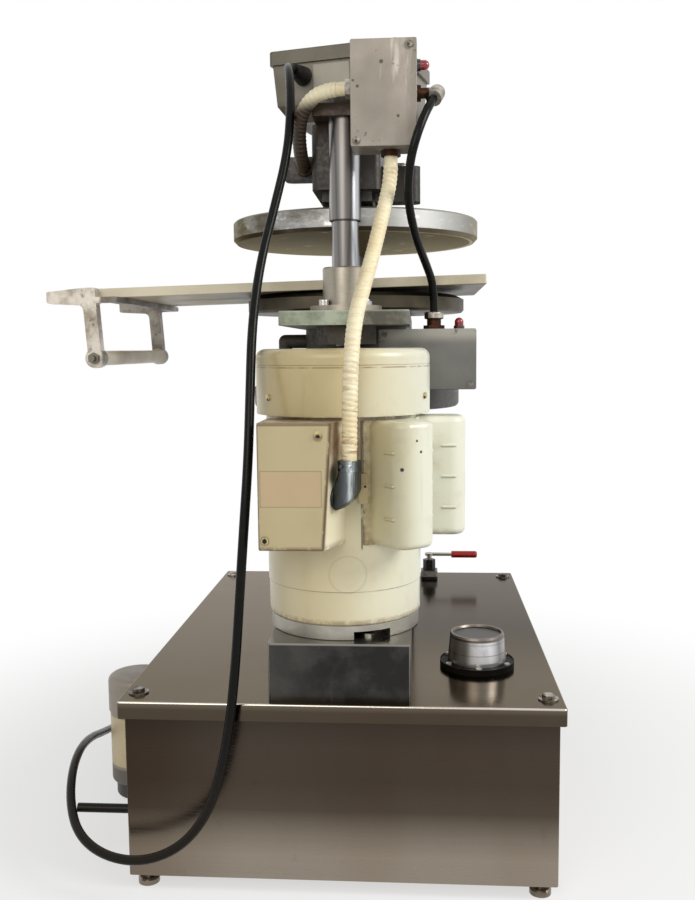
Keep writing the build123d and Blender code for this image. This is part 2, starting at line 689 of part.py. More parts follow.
def make_motor_rotor():
    middle = (FRAME_BOTTOM + FRAME_TOP) / 2
    core = drum(0, MOTOR_Y, STATOR_BORE - AIR_GAP, middle - ROTOR_HEIGHT / 2, middle + ROTOR_HEIGHT / 2)
    shaft_low = ADAPTER_TOP - COUPLING_HEIGHT
    shaft_high = FRAME_TOP + FAN_HUB_HEIGHT + BULKHEAD
    shaft = drum(0, MOTOR_Y, SHAFT_RADIUS, shaft_low, shaft_high)
    coupling = drum(0, MOTOR_Y, COUPLING_RADIUS, shaft_low, ADAPTER_TOP - LOOSE)
    return core + shaft + coupling


def make_motor_bearings():
    lows = (ADAPTER_TOP + BEARING_SHELF, FRAME_TOP - BULKHEAD - BEARING_WIDTH)
    races = []
    for low in lows:
        race = drum(0, MOTOR_Y, BEARING_RADIUS, low, low + BEARING_WIDTH)
        race -= drum(0, MOTOR_Y, SHAFT_RADIUS + RUNNING, low - CUT_OVER, low + BEARING_WIDTH + CUT_OVER)
        races.append(race)
    return group(races)


def make_cooling_fan():
    low = FRAME_TOP + BULKHEAD
    hub = drum(0, MOTOR_Y, FAN_HUB_RADIUS, low, low + FAN_HUB_HEIGHT)
    plate = drum(0, MOTOR_Y, FAN_RADIUS, low, low + FAN_PLATE)
    fan = hub + plate
    blade = box_between(
        FAN_HUB_RADIUS - FAN_PLATE,
        FAN_RADIUS,
        -FAN_BLADE_THICKNESS / 2,
        FAN_BLADE_THICKNESS / 2,
        low,
        low + FAN_BLADE_HEIGHT,
    )
    for i in range(FAN_BLADES):
        fan += motor_place(360 / FAN_BLADES * i) * blade
    return fan - drum(0, MOTOR_Y, SHAFT_RADIUS, low - CUT_OVER, low + FAN_BLADE_HEIGHT + CUT_OVER)


def make_fan_cover():
    bead = FAN_TOP - FAN_COVER_BEAD
    shell = drum(0, MOTOR_Y, FAN_COVER_RADIUS, FRAME_TOP, FAN_TOP)
    shell = fillet(shell.edges().group_by(Axis.Z)[-1], FAN_COVER_ROUND)
    inside = drum(
        0,
        MOTOR_Y,
        FAN_COVER_RADIUS - FAN_COVER_WALL,
        FRAME_TOP + FAN_COVER_WALL,
        FAN_TOP - FAN_COVER_WALL,
    )
    inside = fillet(inside.edges().group_by(Axis.Z)[-1], FAN_COVER_ROUND - FAN_COVER_WALL)
    shell -= inside
    floor = FRAME_TOP + FAN_COVER_WALL
    shell -= drum(0, MOTOR_Y, FRAME_RADIUS - FRAME_WALL, FRAME_TOP - CUT_OVER, floor + CUT_OVER)
    bead_top = bead + FAN_COVER_BEAD_DEPTH
    core = drum(0, MOTOR_Y, FAN_COVER_RADIUS - FAN_COVER_BEAD_DEPTH, bead - CUT_OVER, bead_top + CUT_OVER)
    shell -= drum(0, MOTOR_Y, FAN_COVER_RADIUS + CUT_OVER, bead, bead_top) - core
    middle = (FAN_SLOT_INNER + FAN_SLOT_OUTER) / 2
    slot = extrude(
        Pos(middle, 0, FAN_TOP - FAN_COVER_WALL - CUT_OVER)
        * SlotOverall(FAN_SLOT_OUTER - FAN_SLOT_INNER, FAN_SLOT_WIDTH),
        FAN_COVER_WALL + 2 * CUT_OVER,
    )
    for i in range(FAN_SLOTS):
        shell -= motor_place(360 / FAN_SLOTS * i) * slot
    start = (FAN_COVER_RADIUS - SCREW_SHANK, 0, FRAME_TOP + FAN_SCREW_LIFT)
    hole = bar(start, (1, 0, 0), SCREW_SHANK_RADIUS + LOOSE, SCREW_SHANK + CUT_OVER)
    for angle in fan_screw_angles():
        shell -= motor_place(angle) * hole
    return shell


def fan_screw_angles():
    return [FAN_SCREW_ANGLE + 360 / FAN_SCREWS * i for i in range(FAN_SCREWS)]


# Conduit box, capacitor covers and elbow on the motor
CONDUIT_BOX_LOW = FRAME_BOTTOM + CONDUIT_BOX_BASE
CONDUIT_BOX_HIGH = CONDUIT_BOX_LOW + CONDUIT_BOX_HEIGHT
ELBOW_ROOT = FRAME_RADIUS - CUT_OVER
CAPACITOR_COVER_LOW = FRAME_BOTTOM + CAPACITOR_COVER_BASE
CAPACITOR_COVER_HIGH = CAPACITOR_COVER_LOW + CAPACITOR_COVER_HEIGHT


def frame_cylinder():
    return drum(0, MOTOR_Y, FRAME_RADIUS, ADAPTER_TOP, FAN_TOP)


def conduit_box_plan(height, wall, front):
    """The box's outline at a height, drawn from above: out along X, across along Y, right wall slanted."""
    share = (height - CONDUIT_BOX_LOW) / CONDUIT_BOX_HEIGHT
    right = CONDUIT_BOX_RIGHT_LOW + (CONDUIT_BOX_RIGHT_TOP - CONDUIT_BOX_RIGHT_LOW) * share - wall
    inner = FRAME_RADIUS - BOX_ROOT + wall
    left = CONDUIT_BOX_LEFT + wall
    foot = CONDUIT_BOX_FOOT - wall
    corners = [(inner, left), (front, left), (front, right), (ELBOW_ROOT, foot), (inner, foot)]
    return make_face(Pos(0, 0, height) * Polyline(*corners, close=True))


def conduit_box_shape(wall, front):
    low = conduit_box_plan(CONDUIT_BOX_LOW + wall, wall, front)
    high = conduit_box_plan(CONDUIT_BOX_HIGH - wall, wall, front)
    return loft([low, high], ruled=True)


def make_conduit_box():
    wall = CONDUIT_BOX_WALL
    hollow = conduit_box_shape(wall, CONDUIT_BOX_REACH + CUT_OVER)
    hollow -= drum(0, 0, FRAME_RADIUS + wall, CONDUIT_BOX_LOW, CONDUIT_BOX_HIGH)
    box = conduit_box_shape(0, CONDUIT_BOX_REACH) - hollow
    return motor_place(0) * box - frame_cylinder()


def make_conduit_box_cover():
    outline = Polyline(
        (CONDUIT_BOX_LEFT, CONDUIT_BOX_LOW),
        (CONDUIT_BOX_RIGHT_LOW, CONDUIT_BOX_LOW),
        (CONDUIT_BOX_RIGHT_TOP, CONDUIT_BOX_HIGH),
        (CONDUIT_BOX_LEFT, CONDUIT_BOX_HIGH),
        close=True,
    )
    plane = Plane(origin=(CONDUIT_BOX_REACH, 0, 0), x_dir=(0, 1, 0), z_dir=(1, 0, 0))
    cover = extrude(make_face(plane * outline), CONDUIT_BOX_COVER)
    cover = fillet(cover.edges().filter_by(Axis.X), CONDUIT_BOX_CORNER)
    cover = fillet(cover.faces().sort_by(Axis.X)[-1].edges(), CONDUIT_BOX_COVER / 3)
    for y, z in conduit_cover_screws():
        start = (CONDUIT_BOX_REACH - CUT_OVER, y, z)
        cover -= bar(start, (1, 0, 0), SCREW_SHANK_RADIUS + LOOSE, CONDUIT_BOX_COVER + 2 * CUT_OVER)
    return motor_place(0) * cover


def conduit_cover_screws():
    """Places on the cover's face: top corner nearest the capacitors, and the opposite bottom corner."""
    top = (CONDUIT_BOX_RIGHT_TOP - SCREW_INSET * 1.5, CONDUIT_BOX_HIGH - SCREW_INSET * 1.3)
    return [top, (CONDUIT_BOX_LEFT + SCREW_INSET * 0.8, CONDUIT_BOX_LOW + SCREW_INSET * 1.2)]


def capacitor_shape(shrink, inner):
    """A rounded trough that stands out of the motor, made smaller by a wall."""
    half = CAPACITOR_COVER_WIDTH / 2 - shrink
    reach = CAPACITOR_COVER_REACH - shrink
    low = CAPACITOR_COVER_LOW + shrink
    high = CAPACITOR_COVER_HIGH - shrink
    shape = box_between(inner, reach, -half, half, low, high)
    outer_uprights = shape.edges().filter_by(Axis.Z).group_by(Axis.X)[-1]
    shape = fillet(outer_uprights, CAPACITOR_COVER_ROUND - shrink)
    ends = shape.faces().sort_by(Axis.Z)
    rims = [e for f in (ends[0], ends[-1]) for e in f.edges() if e.center().X > inner + CUT_OVER]
    return fillet(rims, CAPACITOR_COVER_END - shrink)


def capacitor_cover(angle):
    inner = FRAME_RADIUS - BOX_ROOT
    shell = capacitor_shape(0, inner)
    hollow = capacitor_shape(CAPACITOR_COVER_WALL, inner - CUT_OVER)
    half = CAPACITOR_COVER_WIDTH / 2 + CAPACITOR_FLANGE
    low = CAPACITOR_COVER_LOW
    high = CAPACITOR_COVER_HIGH
    strip = drum(0, 0, FRAME_RADIUS + CAPACITOR_FLANGE_THICKNESS, low, high)
    strip = strip & box_between(inner, CAPACITOR_COVER_REACH, -half, half, low, high)
    cover = shell + strip - hollow
    return motor_place(angle) * cover - frame_cylinder()


def make_capacitor_covers():
    return group([capacitor_cover(a) for a in CAPACITOR_ANGLES])


def make_capacitors():
    cans = []
    seat = FRAME_RADIUS + CAPACITOR_RADIUS + LOOSE
    low = CAPACITOR_COVER_LOW + CAPACITOR_LIFT
    for angle in CAPACITOR_ANGLES:
        can = drum(seat, 0, CAPACITOR_RADIUS, low, low + CAPACITOR_LENGTH)
        can = fillet(can.edges().filter_by(GeomType.CIRCLE), CAPACITOR_RADIUS / 8)
        cans.append(motor_place(angle) * can)
    return group(cans)


def elbow_wall():
    """The elbow's place on the box's slanted wall, and the way out of the wall."""
    edge_rise = (CONDUIT_BOX_RIGHT_TOP - CONDUIT_BOX_RIGHT_LOW) * ELBOW_Z / CONDUIT_BOX_HEIGHT
    front = Vector(CONDUIT_BOX_REACH, CONDUIT_BOX_RIGHT_LOW + edge_rise, CONDUIT_BOX_LOW + ELBOW_Z)
    along = Vector(ELBOW_ROOT, CONDUIT_BOX_FOOT, front.Z) - front
    return front + along * ELBOW_SHARE, Vector(along.Y, -along.X, 0).normalized()


def elbow_top():
    """Where the long conduit meets the elbow."""
    seat, out = elbow_wall()
    bend = seat + out * ELBOW_REACH
    place = motor_place(0) * Pos(bend.X, bend.Y, bend.Z + ELBOW_RISE)
    return place.position


def make_conduit_elbow():
    seat, out = elbow_wall()
    bend = seat + out * ELBOW_REACH
    nut_low = bend + Vector(0, 0, ELBOW_RISE - ELBOW_NUT)
    path = FilletPolyline(seat - out * CUT_OVER, bend, nut_low, radius=ELBOW_REACH * 0.8)
    ring = Plane(origin=path @ 0, z_dir=path % 0) * Circle(ELBOW_RADIUS)
    body = sweep(ring, path=path) - conduit_box_shape(0, CONDUIT_BOX_REACH)
    nut = Pos(*nut_low) * extrude(RegularPolygon(ELBOW_NUT_RADIUS, 8), ELBOW_NUT)
    return motor_place(0) * (body + nut)


# Cover screws
def cover_screw(seat, direction):
    """A slotted pan-head screw whose head stands on the seat and faces along the direction."""
    plane = Plane(origin=seat, z_dir=direction)
    head = extrude(plane * Circle(SCREW_RADIUS), SCREW_HEAD)
    shank = extrude(plane * Circle(SCREW_SHANK_RADIUS), -SCREW_SHANK)
    slot = plane * Pos(0, 0, SCREW_HEAD) * Box(SCREW_RADIUS * 3, SCREW_SLOT, SCREW_HEAD)
    return head + shank - slot


def placed_screw(place, seat, direction):
    tip = place * Pos(*seat)
    far = place * Pos(*(Vector(*seat) + Vector(*direction)))
    return cover_screw(tip.position, far.position - tip.position)


def box_cover_screws(x, y, width, low, height, flip):
    """Two corner screws on a box cover that faces the rear."""
    side = width / 2 - SCREW_INSET * 0.8
    high_z = low + height - SCREW_INSET * 0.8
    low_z = low + SCREW_INSET * 0.8
    return [(x + flip * side, y, high_z), (x - flip * side, y, low_z)]


def make_cover_screws():
    screws = []
    front = CONDUIT_BOX_REACH + CONDUIT_BOX_COVER
    for y, z in conduit_cover_screws():
        screws.append(placed_screw(motor_place(0), (front, y, z), (1, 0, 0)))
    for angle in fan_screw_angles():
        seat = (FAN_COVER_RADIUS, 0, FRAME_TOP + FAN_SCREW_LIFT)
        screws.append(placed_screw(motor_place(angle), seat, (1, 0, 0)))
    upper_y = UPPER_BOX_REAR - BOX_COVER
    lower_y = LOWER_BOX_REAR - BOX_COVER
    seats = box_cover_screws(UPPER_BOX_X, upper_y, UPPER_BOX_WIDTH, UPPER_BOX_BOTTOM, UPPER_BOX_HEIGHT, 1)
    seats += box_cover_screws(LOWER_BOX_X, lower_y, LOWER_BOX_WIDTH, LOWER_BOX_BOTTOM, LOWER_BOX_HEIGHT, -1)
    screws += [cover_screw(seat, (0, -1, 0)) for seat in seats]
    screws += [cover_screw(seat, (0, 0, 1)) for seat in breather_screw_seats()]
    return group(screws)


# Filler breather
BREATHER_SEAT = LID_TOP + BREATHER_GASKET + BREATHER_FLANGE
BREATHER_SCREW_CIRCLE = (BREATHER_FLANGE_RADIUS + BREATHER_CAP_RADIUS) / 2


def breather_screw_seats():
    seats = []
    for i in range(BREATHER_SCREWS):
        angle = math.radians(360 / BREATHER_SCREWS * (i + 0.5))
        x = BREATHER_X + BREATHER_SCREW_CIRCLE * math.cos(angle)
        y = BREATHER_Y + BREATHER_SCREW_CIRCLE * math.sin(angle)
        seats.append((x, y, BREATHER_SEAT))
    return seats


def make_breather_flange():
    rim = BREATHER_SEAT + BREATHER_RIM
    outer = BREATHER_FLANGE_RADIUS
    inner = BREATHER_NECK_RADIUS - BREATHER_NECK_WALL
    profile = [
        (inner, LID_TOP - BREATHER_NECK),
        (BREATHER_NECK_RADIUS, LID_TOP - BREATHER_NECK),
        (BREATHER_NECK_RADIUS, LID_TOP),
        (outer, LID_TOP),
        (outer, rim),
        (outer - BREATHER_RIM, rim),
        (outer - BREATHER_RIM, BREATHER_SEAT),
        (BREATHER_NECK_RADIUS, BREATHER_SEAT),
        (BREATHER_NECK_RADIUS, BREATHER_SEAT + BREATHER_NECK),
        (inner, BREATHER_SEAT + BREATHER_NECK),
    ]
    flange = turned(BREATHER_X, BREATHER_Y, profile)
    for x, y, z in breather_screw_seats():
        flange -= drum(x, y, SCREW_SHANK_RADIUS, LID_TOP + LOOSE, z + CUT_OVER)
    return flange


def make_breather_cap():
    low = BREATHER_SEAT + LOOSE
    high = low + BREATHER_CAP_HEIGHT
    wall = BREATHER_CAP_WALL
    bead = BREATHER_CAP_HEIGHT * 0.14
    profile = [
        (0, high - bead * 0.5),
        (BREATHER_CAP_TOP - bead, high - bead * 0.5),
        (BREATHER_CAP_TOP - bead * 0.7, high),
        (BREATHER_CAP_TOP - bead * 0.2, high),
        (BREATHER_CAP_TOP, high - bead * 0.5),
        (BREATHER_CAP_TOP, high - bead),
        (BREATHER_CAP_RADIUS, low + bead),
        (BREATHER_CAP_RADIUS, low),
        (BREATHER_CAP_RADIUS - wall, low),
        (BREATHER_CAP_RADIUS - wall, low + bead),
        (BREATHER_CAP_TOP - wall, high - bead - wall),
        (0, high - bead - wall),
    ]
    return turned(BREATHER_X, BREATHER_Y, profile)


# Return filter
FILTER_X = TANK_LEFT - FILTER_GAP - FILTER_HEAD_RADIUS
FILTER_HEAD_LOW = FILTER_CAN_BASE + FILTER_CAN_HEIGHT


def make_filter_can():
    foot_top = FILTER_CAN_BASE + FILTER_FOOT
    can = drum(FILTER_X, FILTER_Y, FILTER_CAN_RADIUS, foot_top, FILTER_HEAD_LOW)
    can = fillet(can.edges().group_by(Axis.Z)[0], FILTER_CAN_ROUND)
    foot = drum(FILTER_X, FILTER_Y, FILTER_FOOT_RADIUS, FILTER_CAN_BASE, foot_top)
    return can + fillet(foot.edges().group_by(Axis.Z)[0], FILTER_CAN_ROUND)


def make_filter_head():
    high = FILTER_HEAD_LOW + FILTER_HEAD_HEIGHT
    head = drum(FILTER_X, FILTER_Y, FILTER_HEAD_RADIUS, FILTER_HEAD_LOW, high)
    head = fillet(head.edges().group_by(Axis.Z)[-1], FILTER_HEAD_ROUND)
    port_z = FILTER_HEAD_LOW + FILTER_HEAD_HEIGHT / 2
    return head + bar((FILTER_X, FILTER_Y, port_z), (1, 0, 0), FILTER_PORT_RADIUS, TANK_LEFT - FILTER_X)


# Pedestal, cylinder, ram, bed and posts
def make_pedestal():
    flange_low = PEDESTAL_TOP - PEDESTAL_FLANGE
    column = drum(0, PRESS_Y, PEDESTAL_RADIUS, LID_TOP, flange_low)
    foot = drum(0, PRESS_Y, PEDESTAL_FOOT_RADIUS, LID_TOP, LID_TOP + PEDESTAL_FOOT)
    flange = drum(0, PRESS_Y, PEDESTAL_FLANGE_RADIUS, flange_low, PEDESTAL_TOP)
    flange = fillet(flange.edges().group_by(Axis.Z)[0], PEDESTAL_FLANGE_ROUND)
    inside = drum(0, PRESS_Y, PEDESTAL_RADIUS - PEDESTAL_WALL, LID_TOP - CUT_OVER, flange_low)
    hole = HOSE_RADIUS + HOSE_HOLE_GAP
    hose_hole = drum(HOSE_X, PRESS_Y, hole, flange_low - CUT_OVER, PEDESTAL_TOP + CUT_OVER)
    return column + foot + flange - inside - hose_hole


def make_cylinder_barrel():
    barrel = drum(0, PRESS_Y, BARREL_RADIUS, PEDESTAL_TOP, BARREL_TOP)
    corner = (HOSE_X, PRESS_Y, HOSE_ELBOW_Z)
    barrel += bar(corner, (1, 0, 0), HOSE_ELBOW_RADIUS, -HOSE_X)
    barrel += Pos(*corner) * Sphere(HOSE_ELBOW_RADIUS)
    barrel += bar(corner, (0, 0, -1), HOSE_ELBOW_RADIUS, HOSE_ELBOW_DROP)
    bore = RAM_RADIUS + RUNNING
    return barrel - drum(0, PRESS_Y, bore, PEDESTAL_TOP + BARREL_FLOOR, BARREL_TOP + CUT_OVER)


def make_ram():
    low = PEDESTAL_TOP + BARREL_FLOOR + RAM_FLOOR_GAP
    return drum(0, PRESS_Y, RAM_RADIUS, low, TABLE_BOTTOM)


def make_bed_plate():
    half = BED_WIDTH / 2
    rear = REAR_POST_Y - BED_MARGIN
    front = FRONT_POST_Y + BED_MARGIN
    plate = box_between(-half, half, rear, front, BARREL_TOP, BED_TOP)
    plate = fillet(plate.edges().filter_by(Axis.Z), BED_CORNER)
    plate = chamfer(plate.faces().sort_by(Axis.Z)[-1].edges(), BED_THICKNESS / 20)
    plate -= drum(0, PRESS_Y, RAM_RADIUS + RUNNING, BARREL_TOP - CUT_OVER, BED_TOP + CUT_OVER)
    for y in (REAR_POST_Y, FRONT_POST_Y):
        plate -= drum(0, y, POST_STUD_RADIUS + RUNNING, BARREL_TOP - CUT_OVER, BED_TOP + CUT_OVER)
        for x, sy in collar_screw_points(y):
            hole = COLLAR_SCREW_RADIUS / 2 + LOOSE
            plate -= drum(x, sy, hole, BARREL_TOP + CUT_OVER, BED_TOP + CUT_OVER)
    return plate


def guide_post(y):
    stud_low = BARREL_TOP - POST_NUT_HEIGHT - CUT_OVER
    stud_high = YOKE_TOP + POST_TOP_NUT + CUT_OVER
    groove = POST_RADIUS - POST_GROOVE_DEPTH
    profile = [
        (0, stud_low),
        (POST_STUD_RADIUS, stud_low),
        (POST_STUD_RADIUS, BED_TOP),
        (POST_RADIUS, BED_TOP),
        (POST_RADIUS, POST_STEP - POST_GROOVE),
        (groove, POST_STEP - POST_GROOVE),
        (groove, POST_STEP),
        (POST_UPPER_RADIUS, POST_STEP),
        (POST_UPPER_RADIUS, YOKE_BOTTOM),
        (POST_STUD_RADIUS, YOKE_BOTTOM),
        (POST_STUD_RADIUS, stud_high),
        (0, stud_high),
    ]
    return turned(0, y, profile)


def make_guide_posts():
    return group([guide_post(REAR_POST_Y), guide_post(FRONT_POST_Y)])


def collar_screw_points(y):
    points = []
    for i in range(COLLAR_SCREWS):
        angle = math.radians(45 + 360 / COLLAR_SCREWS * i)
        x = COLLAR_SCREW_CIRCLE * math.cos(angle)
        points.append((x, y + COLLAR_SCREW_CIRCLE * math.sin(angle)))
    return points


def post_collar(y):
    flange_top = BED_TOP + COLLAR_FLANGE
    collar = drum(0, y, COLLAR_FLANGE_RADIUS, BED_TOP, flange_top)
    sleeve = drum(0, y, COLLAR_RADIUS, BED_TOP, BED_TOP + COLLAR_HEIGHT)
    sleeve = chamfer(sleeve.edges().group_by(Axis.Z)[-1], (COLLAR_RADIUS - POST_RADIUS) / 7)
    collar += sleeve
    collar -= drum(0, y, POST_RADIUS + RUNNING, BED_TOP - CUT_OVER, BED_TOP + COLLAR_HEIGHT + CUT_OVER)
    for x, sy in collar_screw_points(y):
        collar -= drum(x, sy, COLLAR_SCREW_RADIUS / 2 + LOOSE, BED_TOP - CUT_OVER, flange_top + CUT_OVER)
    return collar


def make_post_collars():
    return group([post_collar(REAR_POST_Y), post_collar(FRONT_POST_Y)])


def collar_screw(x, y):
    seat = BED_TOP + COLLAR_FLANGE
    head = drum(x, y, COLLAR_SCREW_RADIUS, seat, seat + COLLAR_SCREW_HEAD)
    head = fillet(head.edges().group_by(Axis.Z)[-1], COLLAR_SCREW_HEAD / 4)
    top = seat + COLLAR_SCREW_HEAD
    socket = hexagon(x, y, COLLAR_SCREW_RADIUS, top - COLLAR_SCREW_HEAD / 2, top + CUT_OVER)
    shank = drum(x, y, COLLAR_SCREW_RADIUS / 2, BED_TOP - BED_THICKNESS / 2, seat)
    return head - socket + shank


def make_collar_screws():
    points = collar_screw_points(REAR_POST_Y) + collar_screw_points(FRONT_POST_Y)
    return group([collar_screw(x, y) for x, y in points])


def post_nut(y, flats, low, height):
    nut = hexagon(0, y, flats, low, low + height)
    return nut - drum(0, y, POST_STUD_RADIUS + RUNNING, low - CUT_OVER, low + height + CUT_OVER)


def make_post_nuts():
    nuts = []
    for y in (REAR_POST_Y, FRONT_POST_Y):
        nuts.append(post_nut(y, POST_NUT_FLATS, BARREL_TOP - POST_NUT_HEIGHT, POST_NUT_HEIGHT))
        nuts.append(post_nut(y, POST_TOP_NUT_FLATS, YOKE_TOP, POST_TOP_NUT))
    return group(nuts)


# Platens and head
def make_lower_platen():
    profile = [
        (0, TABLE_BOTTOM),
        (LOWER_PLATEN_RADIUS - LOWER_PLATEN_BEVEL / 2, TABLE_BOTTOM),
        (LOWER_PLATEN_RADIUS, TABLE_BOTTOM + LOWER_PLATEN_BEVEL / 2),
        (LOWER_PLATEN_RADIUS, TABLE_TOP - LOWER_PLATEN_BEVEL),
        (PLATEN_EDGE, TABLE_TOP),
        (0, TABLE_TOP),
    ]
    return turned(0, PRESS_Y, profile)


def make_upper_platen():
    low = UPPER_PLATEN_BEVEL
    high = UPPER_PLATEN_UPPER_BEVEL
    profile = [
        (0, PLATEN_BOTTOM),
        (UPPER_PLATEN_RADIUS - low, PLATEN_BOTTOM),
        (UPPER_PLATEN_RADIUS, PLATEN_BOTTOM + low),
        (UPPER_PLATEN_RADIUS, PLATEN_TOP - high),
        (UPPER_PLATEN_RADIUS - high, PLATEN_TOP),
        (0, PLATEN_TOP),
    ]
    return turned(0, PRESS_Y, profile)


def make_platen_insulator():
    return drum(0, PRESS_Y, INSULATOR_RADIUS, PLATEN_TOP, HEAD_BOTTOM)


def ear_holes():
    """The seats of the two ear bolts."""
    y = EAR_FACE + EAR_DEPTH / 2
    left = (-(HEAD_WIDTH + LEFT_EAR_REACH) / 2, y, LEFT_EAR_LOW + LEFT_EAR_HEIGHT)
    right = ((HEAD_WIDTH + RIGHT_EAR_REACH) / 2, y, HEAD_BOTTOM + RIGHT_EAR_LIFT + RIGHT_EAR_HEIGHT)
    return [left, right]


def head_ear(side, reach, low, height):
    """A lug that stands out of the head's side, rounded at its tip."""
    root = HEAD_WIDTH / 2 - HEAD_ROUND
    tip = HEAD_WIDTH / 2 + reach
    ear = box_between(root, tip, EAR_FACE, EAR_FACE + EAR_DEPTH, low, low + height)
    ear = fillet(ear.edges().filter_by(Axis.Z).group_by(Axis.X)[-1], EAR_ROUND)
    return ear if side > 0 else mirror(ear, Plane.YZ)


def make_head_casting():
    half = HEAD_WIDTH / 2
    waist = HEAD_BOTTOM + HEAD_FOOT
    block = box_between(-half, half, HEAD_REAR, HEAD_FRONT, waist, YOKE_BOTTOM)
    block = fillet(block.edges().filter_by(Axis.Z), HEAD_ROUND)
    foot_half = HEAD_FOOT_WIDTH / 2
    inset = (HEAD_WIDTH - HEAD_FOOT_WIDTH) / 2
    foot = box_between(-foot_half, foot_half, HEAD_REAR + inset, HEAD_FRONT - inset, HEAD_BOTTOM, waist)
    yoke = box_between(-YOKE_WIDTH / 2, YOKE_WIDTH / 2, YOKE_REAR, YOKE_FRONT, YOKE_BOTTOM, YOKE_TOP)
    stand = drum(0, PRESS_Y + CONTROL_Y, HEAD_STAND_RADIUS, YOKE_TOP, CONTROL_BOTTOM)
    head = block + foot + yoke + stand
    head += head_ear(-1, LEFT_EAR_REACH, LEFT_EAR_LOW, LEFT_EAR_HEIGHT)
    head += head_ear(1, RIGHT_EAR_REACH, HEAD_BOTTOM + RIGHT_EAR_LIFT, RIGHT_EAR_HEIGHT)
    for x, y, top in ear_holes():
        head -= drum(x, y, BOLT_RADIUS + BOLT_CLEARANCE, top - BOLT_SHANK - CUT_OVER, top + CUT_OVER)
    for y in (REAR_POST_Y, FRONT_POST_Y):
        head -= drum(0, y, POST_STUD_RADIUS + RUNNING, YOKE_BOTTOM - CUT_OVER, YOKE_TOP + CUT_OVER)
    return head


# Board, handle frame, rod and grip. They are laid out level, with the board's underside at zero height
# over the press axis, and then tilted together.
BOARD_LIFT = TABLE_TOP + BOARD_REST + PLATEN_EDGE * math.sin(math.radians(BOARD_TILT))
BOARD_LEFT = BOARD_RIGHT - BOARD_LENGTH
BOARD_PLACE = Pos(0, PRESS_Y, BOARD_LIFT) * Rot(0, -BOARD_TILT, 0)
HANDLE_INNER = BOARD_LEFT + HANDLE_LAP
GRIP_X = HANDLE_INNER - HANDLE_LEG_WIDTH / 2 + HANDLE_LEAN
HANDLE_HALF = BOARD_WIDTH / 2 + HANDLE_OVERHANG
GRIP_HALF = HANDLE_HALF - HANDLE_THICKNESS / 2


def make_die_board():
    half = BOARD_WIDTH / 2
    board = box_between(BOARD_LEFT, BOARD_RIGHT, -half, half, 0, BOARD_THICKNESS)
    board = fillet(board.edges().filter_by(Axis.Z), BOARD_THICKNESS / 5)
    board = chamfer(board.faces().sort_by(Axis.Z)[-1].edges(), BOARD_THICKNESS / 15)
    return BOARD_PLACE * board


def handle_leg(side):
    """One cast leg with its arm and the tab under the board, drawn in the XZ plane."""
    inner = HANDLE_INNER
    outer = inner - HANDLE_LEG_WIDTH
    tip = outer - HANDLE_ARM
    arm_low = HANDLE_TOP - HANDLE_ARM_ROOT
    tip_high = HANDLE_TOP - (HANDLE_ARM_ROOT - HANDLE_ARM_TIP) / 2
    outline = Polyline(
        (inner, HANDLE_TOP),
        (outer, HANDLE_TOP),
        (tip, tip_high),
        (tip, tip_high - HANDLE_ARM_TIP),
        (outer, arm_low),
        (outer + HANDLE_LEAN, -HANDLE_DROP),
        (inner + HANDLE_LEAN, -HANDLE_DROP),
        (inner, -HANDLE_TAB_THICKNESS),
        (inner + HANDLE_TAB, -HANDLE_TAB_THICKNESS),
        (inner + HANDLE_TAB, 0),
        (inner, 0),
        close=True,
    )
    leg = extrude(make_face(Plane.XZ * outline), HANDLE_THICKNESS / 2, both=True)
    corners = leg.edges().filter_by(Axis.Y)
    crook = corners.sort_by_distance((outer, 0, arm_low))[0]
    seat = corners.sort_by_distance((inner, 0, 0))[0]
    soft = [e for e in corners if e not in (crook, seat)]
    leg = fillet(soft, HANDLE_ROUND)
    leg = fillet(leg.edges().filter_by(Axis.Y).sort_by_distance((outer, 0, arm_low))[0], HANDLE_CROOK)
    start = (GRIP_X, -HANDLE_THICKNESS / 2, -HANDLE_DROP)
    leg += bar(start, (0, 1, 0), GRIP_END_RADIUS, HANDLE_THICKNESS)
    return Pos(0, side * HANDLE_HALF, 0) * leg


def make_handle_frame():
    tab_end = HANDLE_INNER + HANDLE_TAB
    bridge = box_between(
        tab_end - HANDLE_TAB / 2, tab_end, -HANDLE_HALF, HANDLE_HALF, -HANDLE_TAB_THICKNESS, 0
    )
    frame = handle_leg(-1) + handle_leg(1) + bridge
    start = (GRIP_X, -2 * HANDLE_HALF, -HANDLE_DROP)
    frame -= bar(start, (0, 1, 0), ROD_RADIUS + RUNNING, 4 * HANDLE_HALF)
    return BOARD_PLACE * frame


def make_handle_rod():
    half = HANDLE_HALF + HANDLE_THICKNESS / 2
    reach = half + ROD_NUT + ROD_END
    rod = bar((GRIP_X, -reach, -HANDLE_DROP), (0, 1, 0), ROD_RADIUS, 2 * reach)
    for side in (-1, 1):
        plane = Plane(origin=(GRIP_X, side * half, -HANDLE_DROP), z_dir=(0, side, 0))
        rod += extrude(plane * RegularPolygon(ROD_NUT_FLATS / 2, 6, major_radius=False), ROD_NUT)
    return BOARD_PLACE * rod


def make_handle_grip():
    half = GRIP_HALF - GRIP_SIDE_GAP
    bore = ROD_RADIUS + RUNNING
    flare = half - GRIP_FLARE
    outline = Polyline(
        (bore, -half),
        (GRIP_END_RADIUS, -half),
        (GRIP_RADIUS, -flare),
        (GRIP_RADIUS, flare),
        (GRIP_END_RADIUS, half),
        (bore, half),
        close=True,
    )
    grip = revolve(make_face(outline), Axis.Y)
    return BOARD_PLACE * Pos(GRIP_X, 0, -HANDLE_DROP) * grip


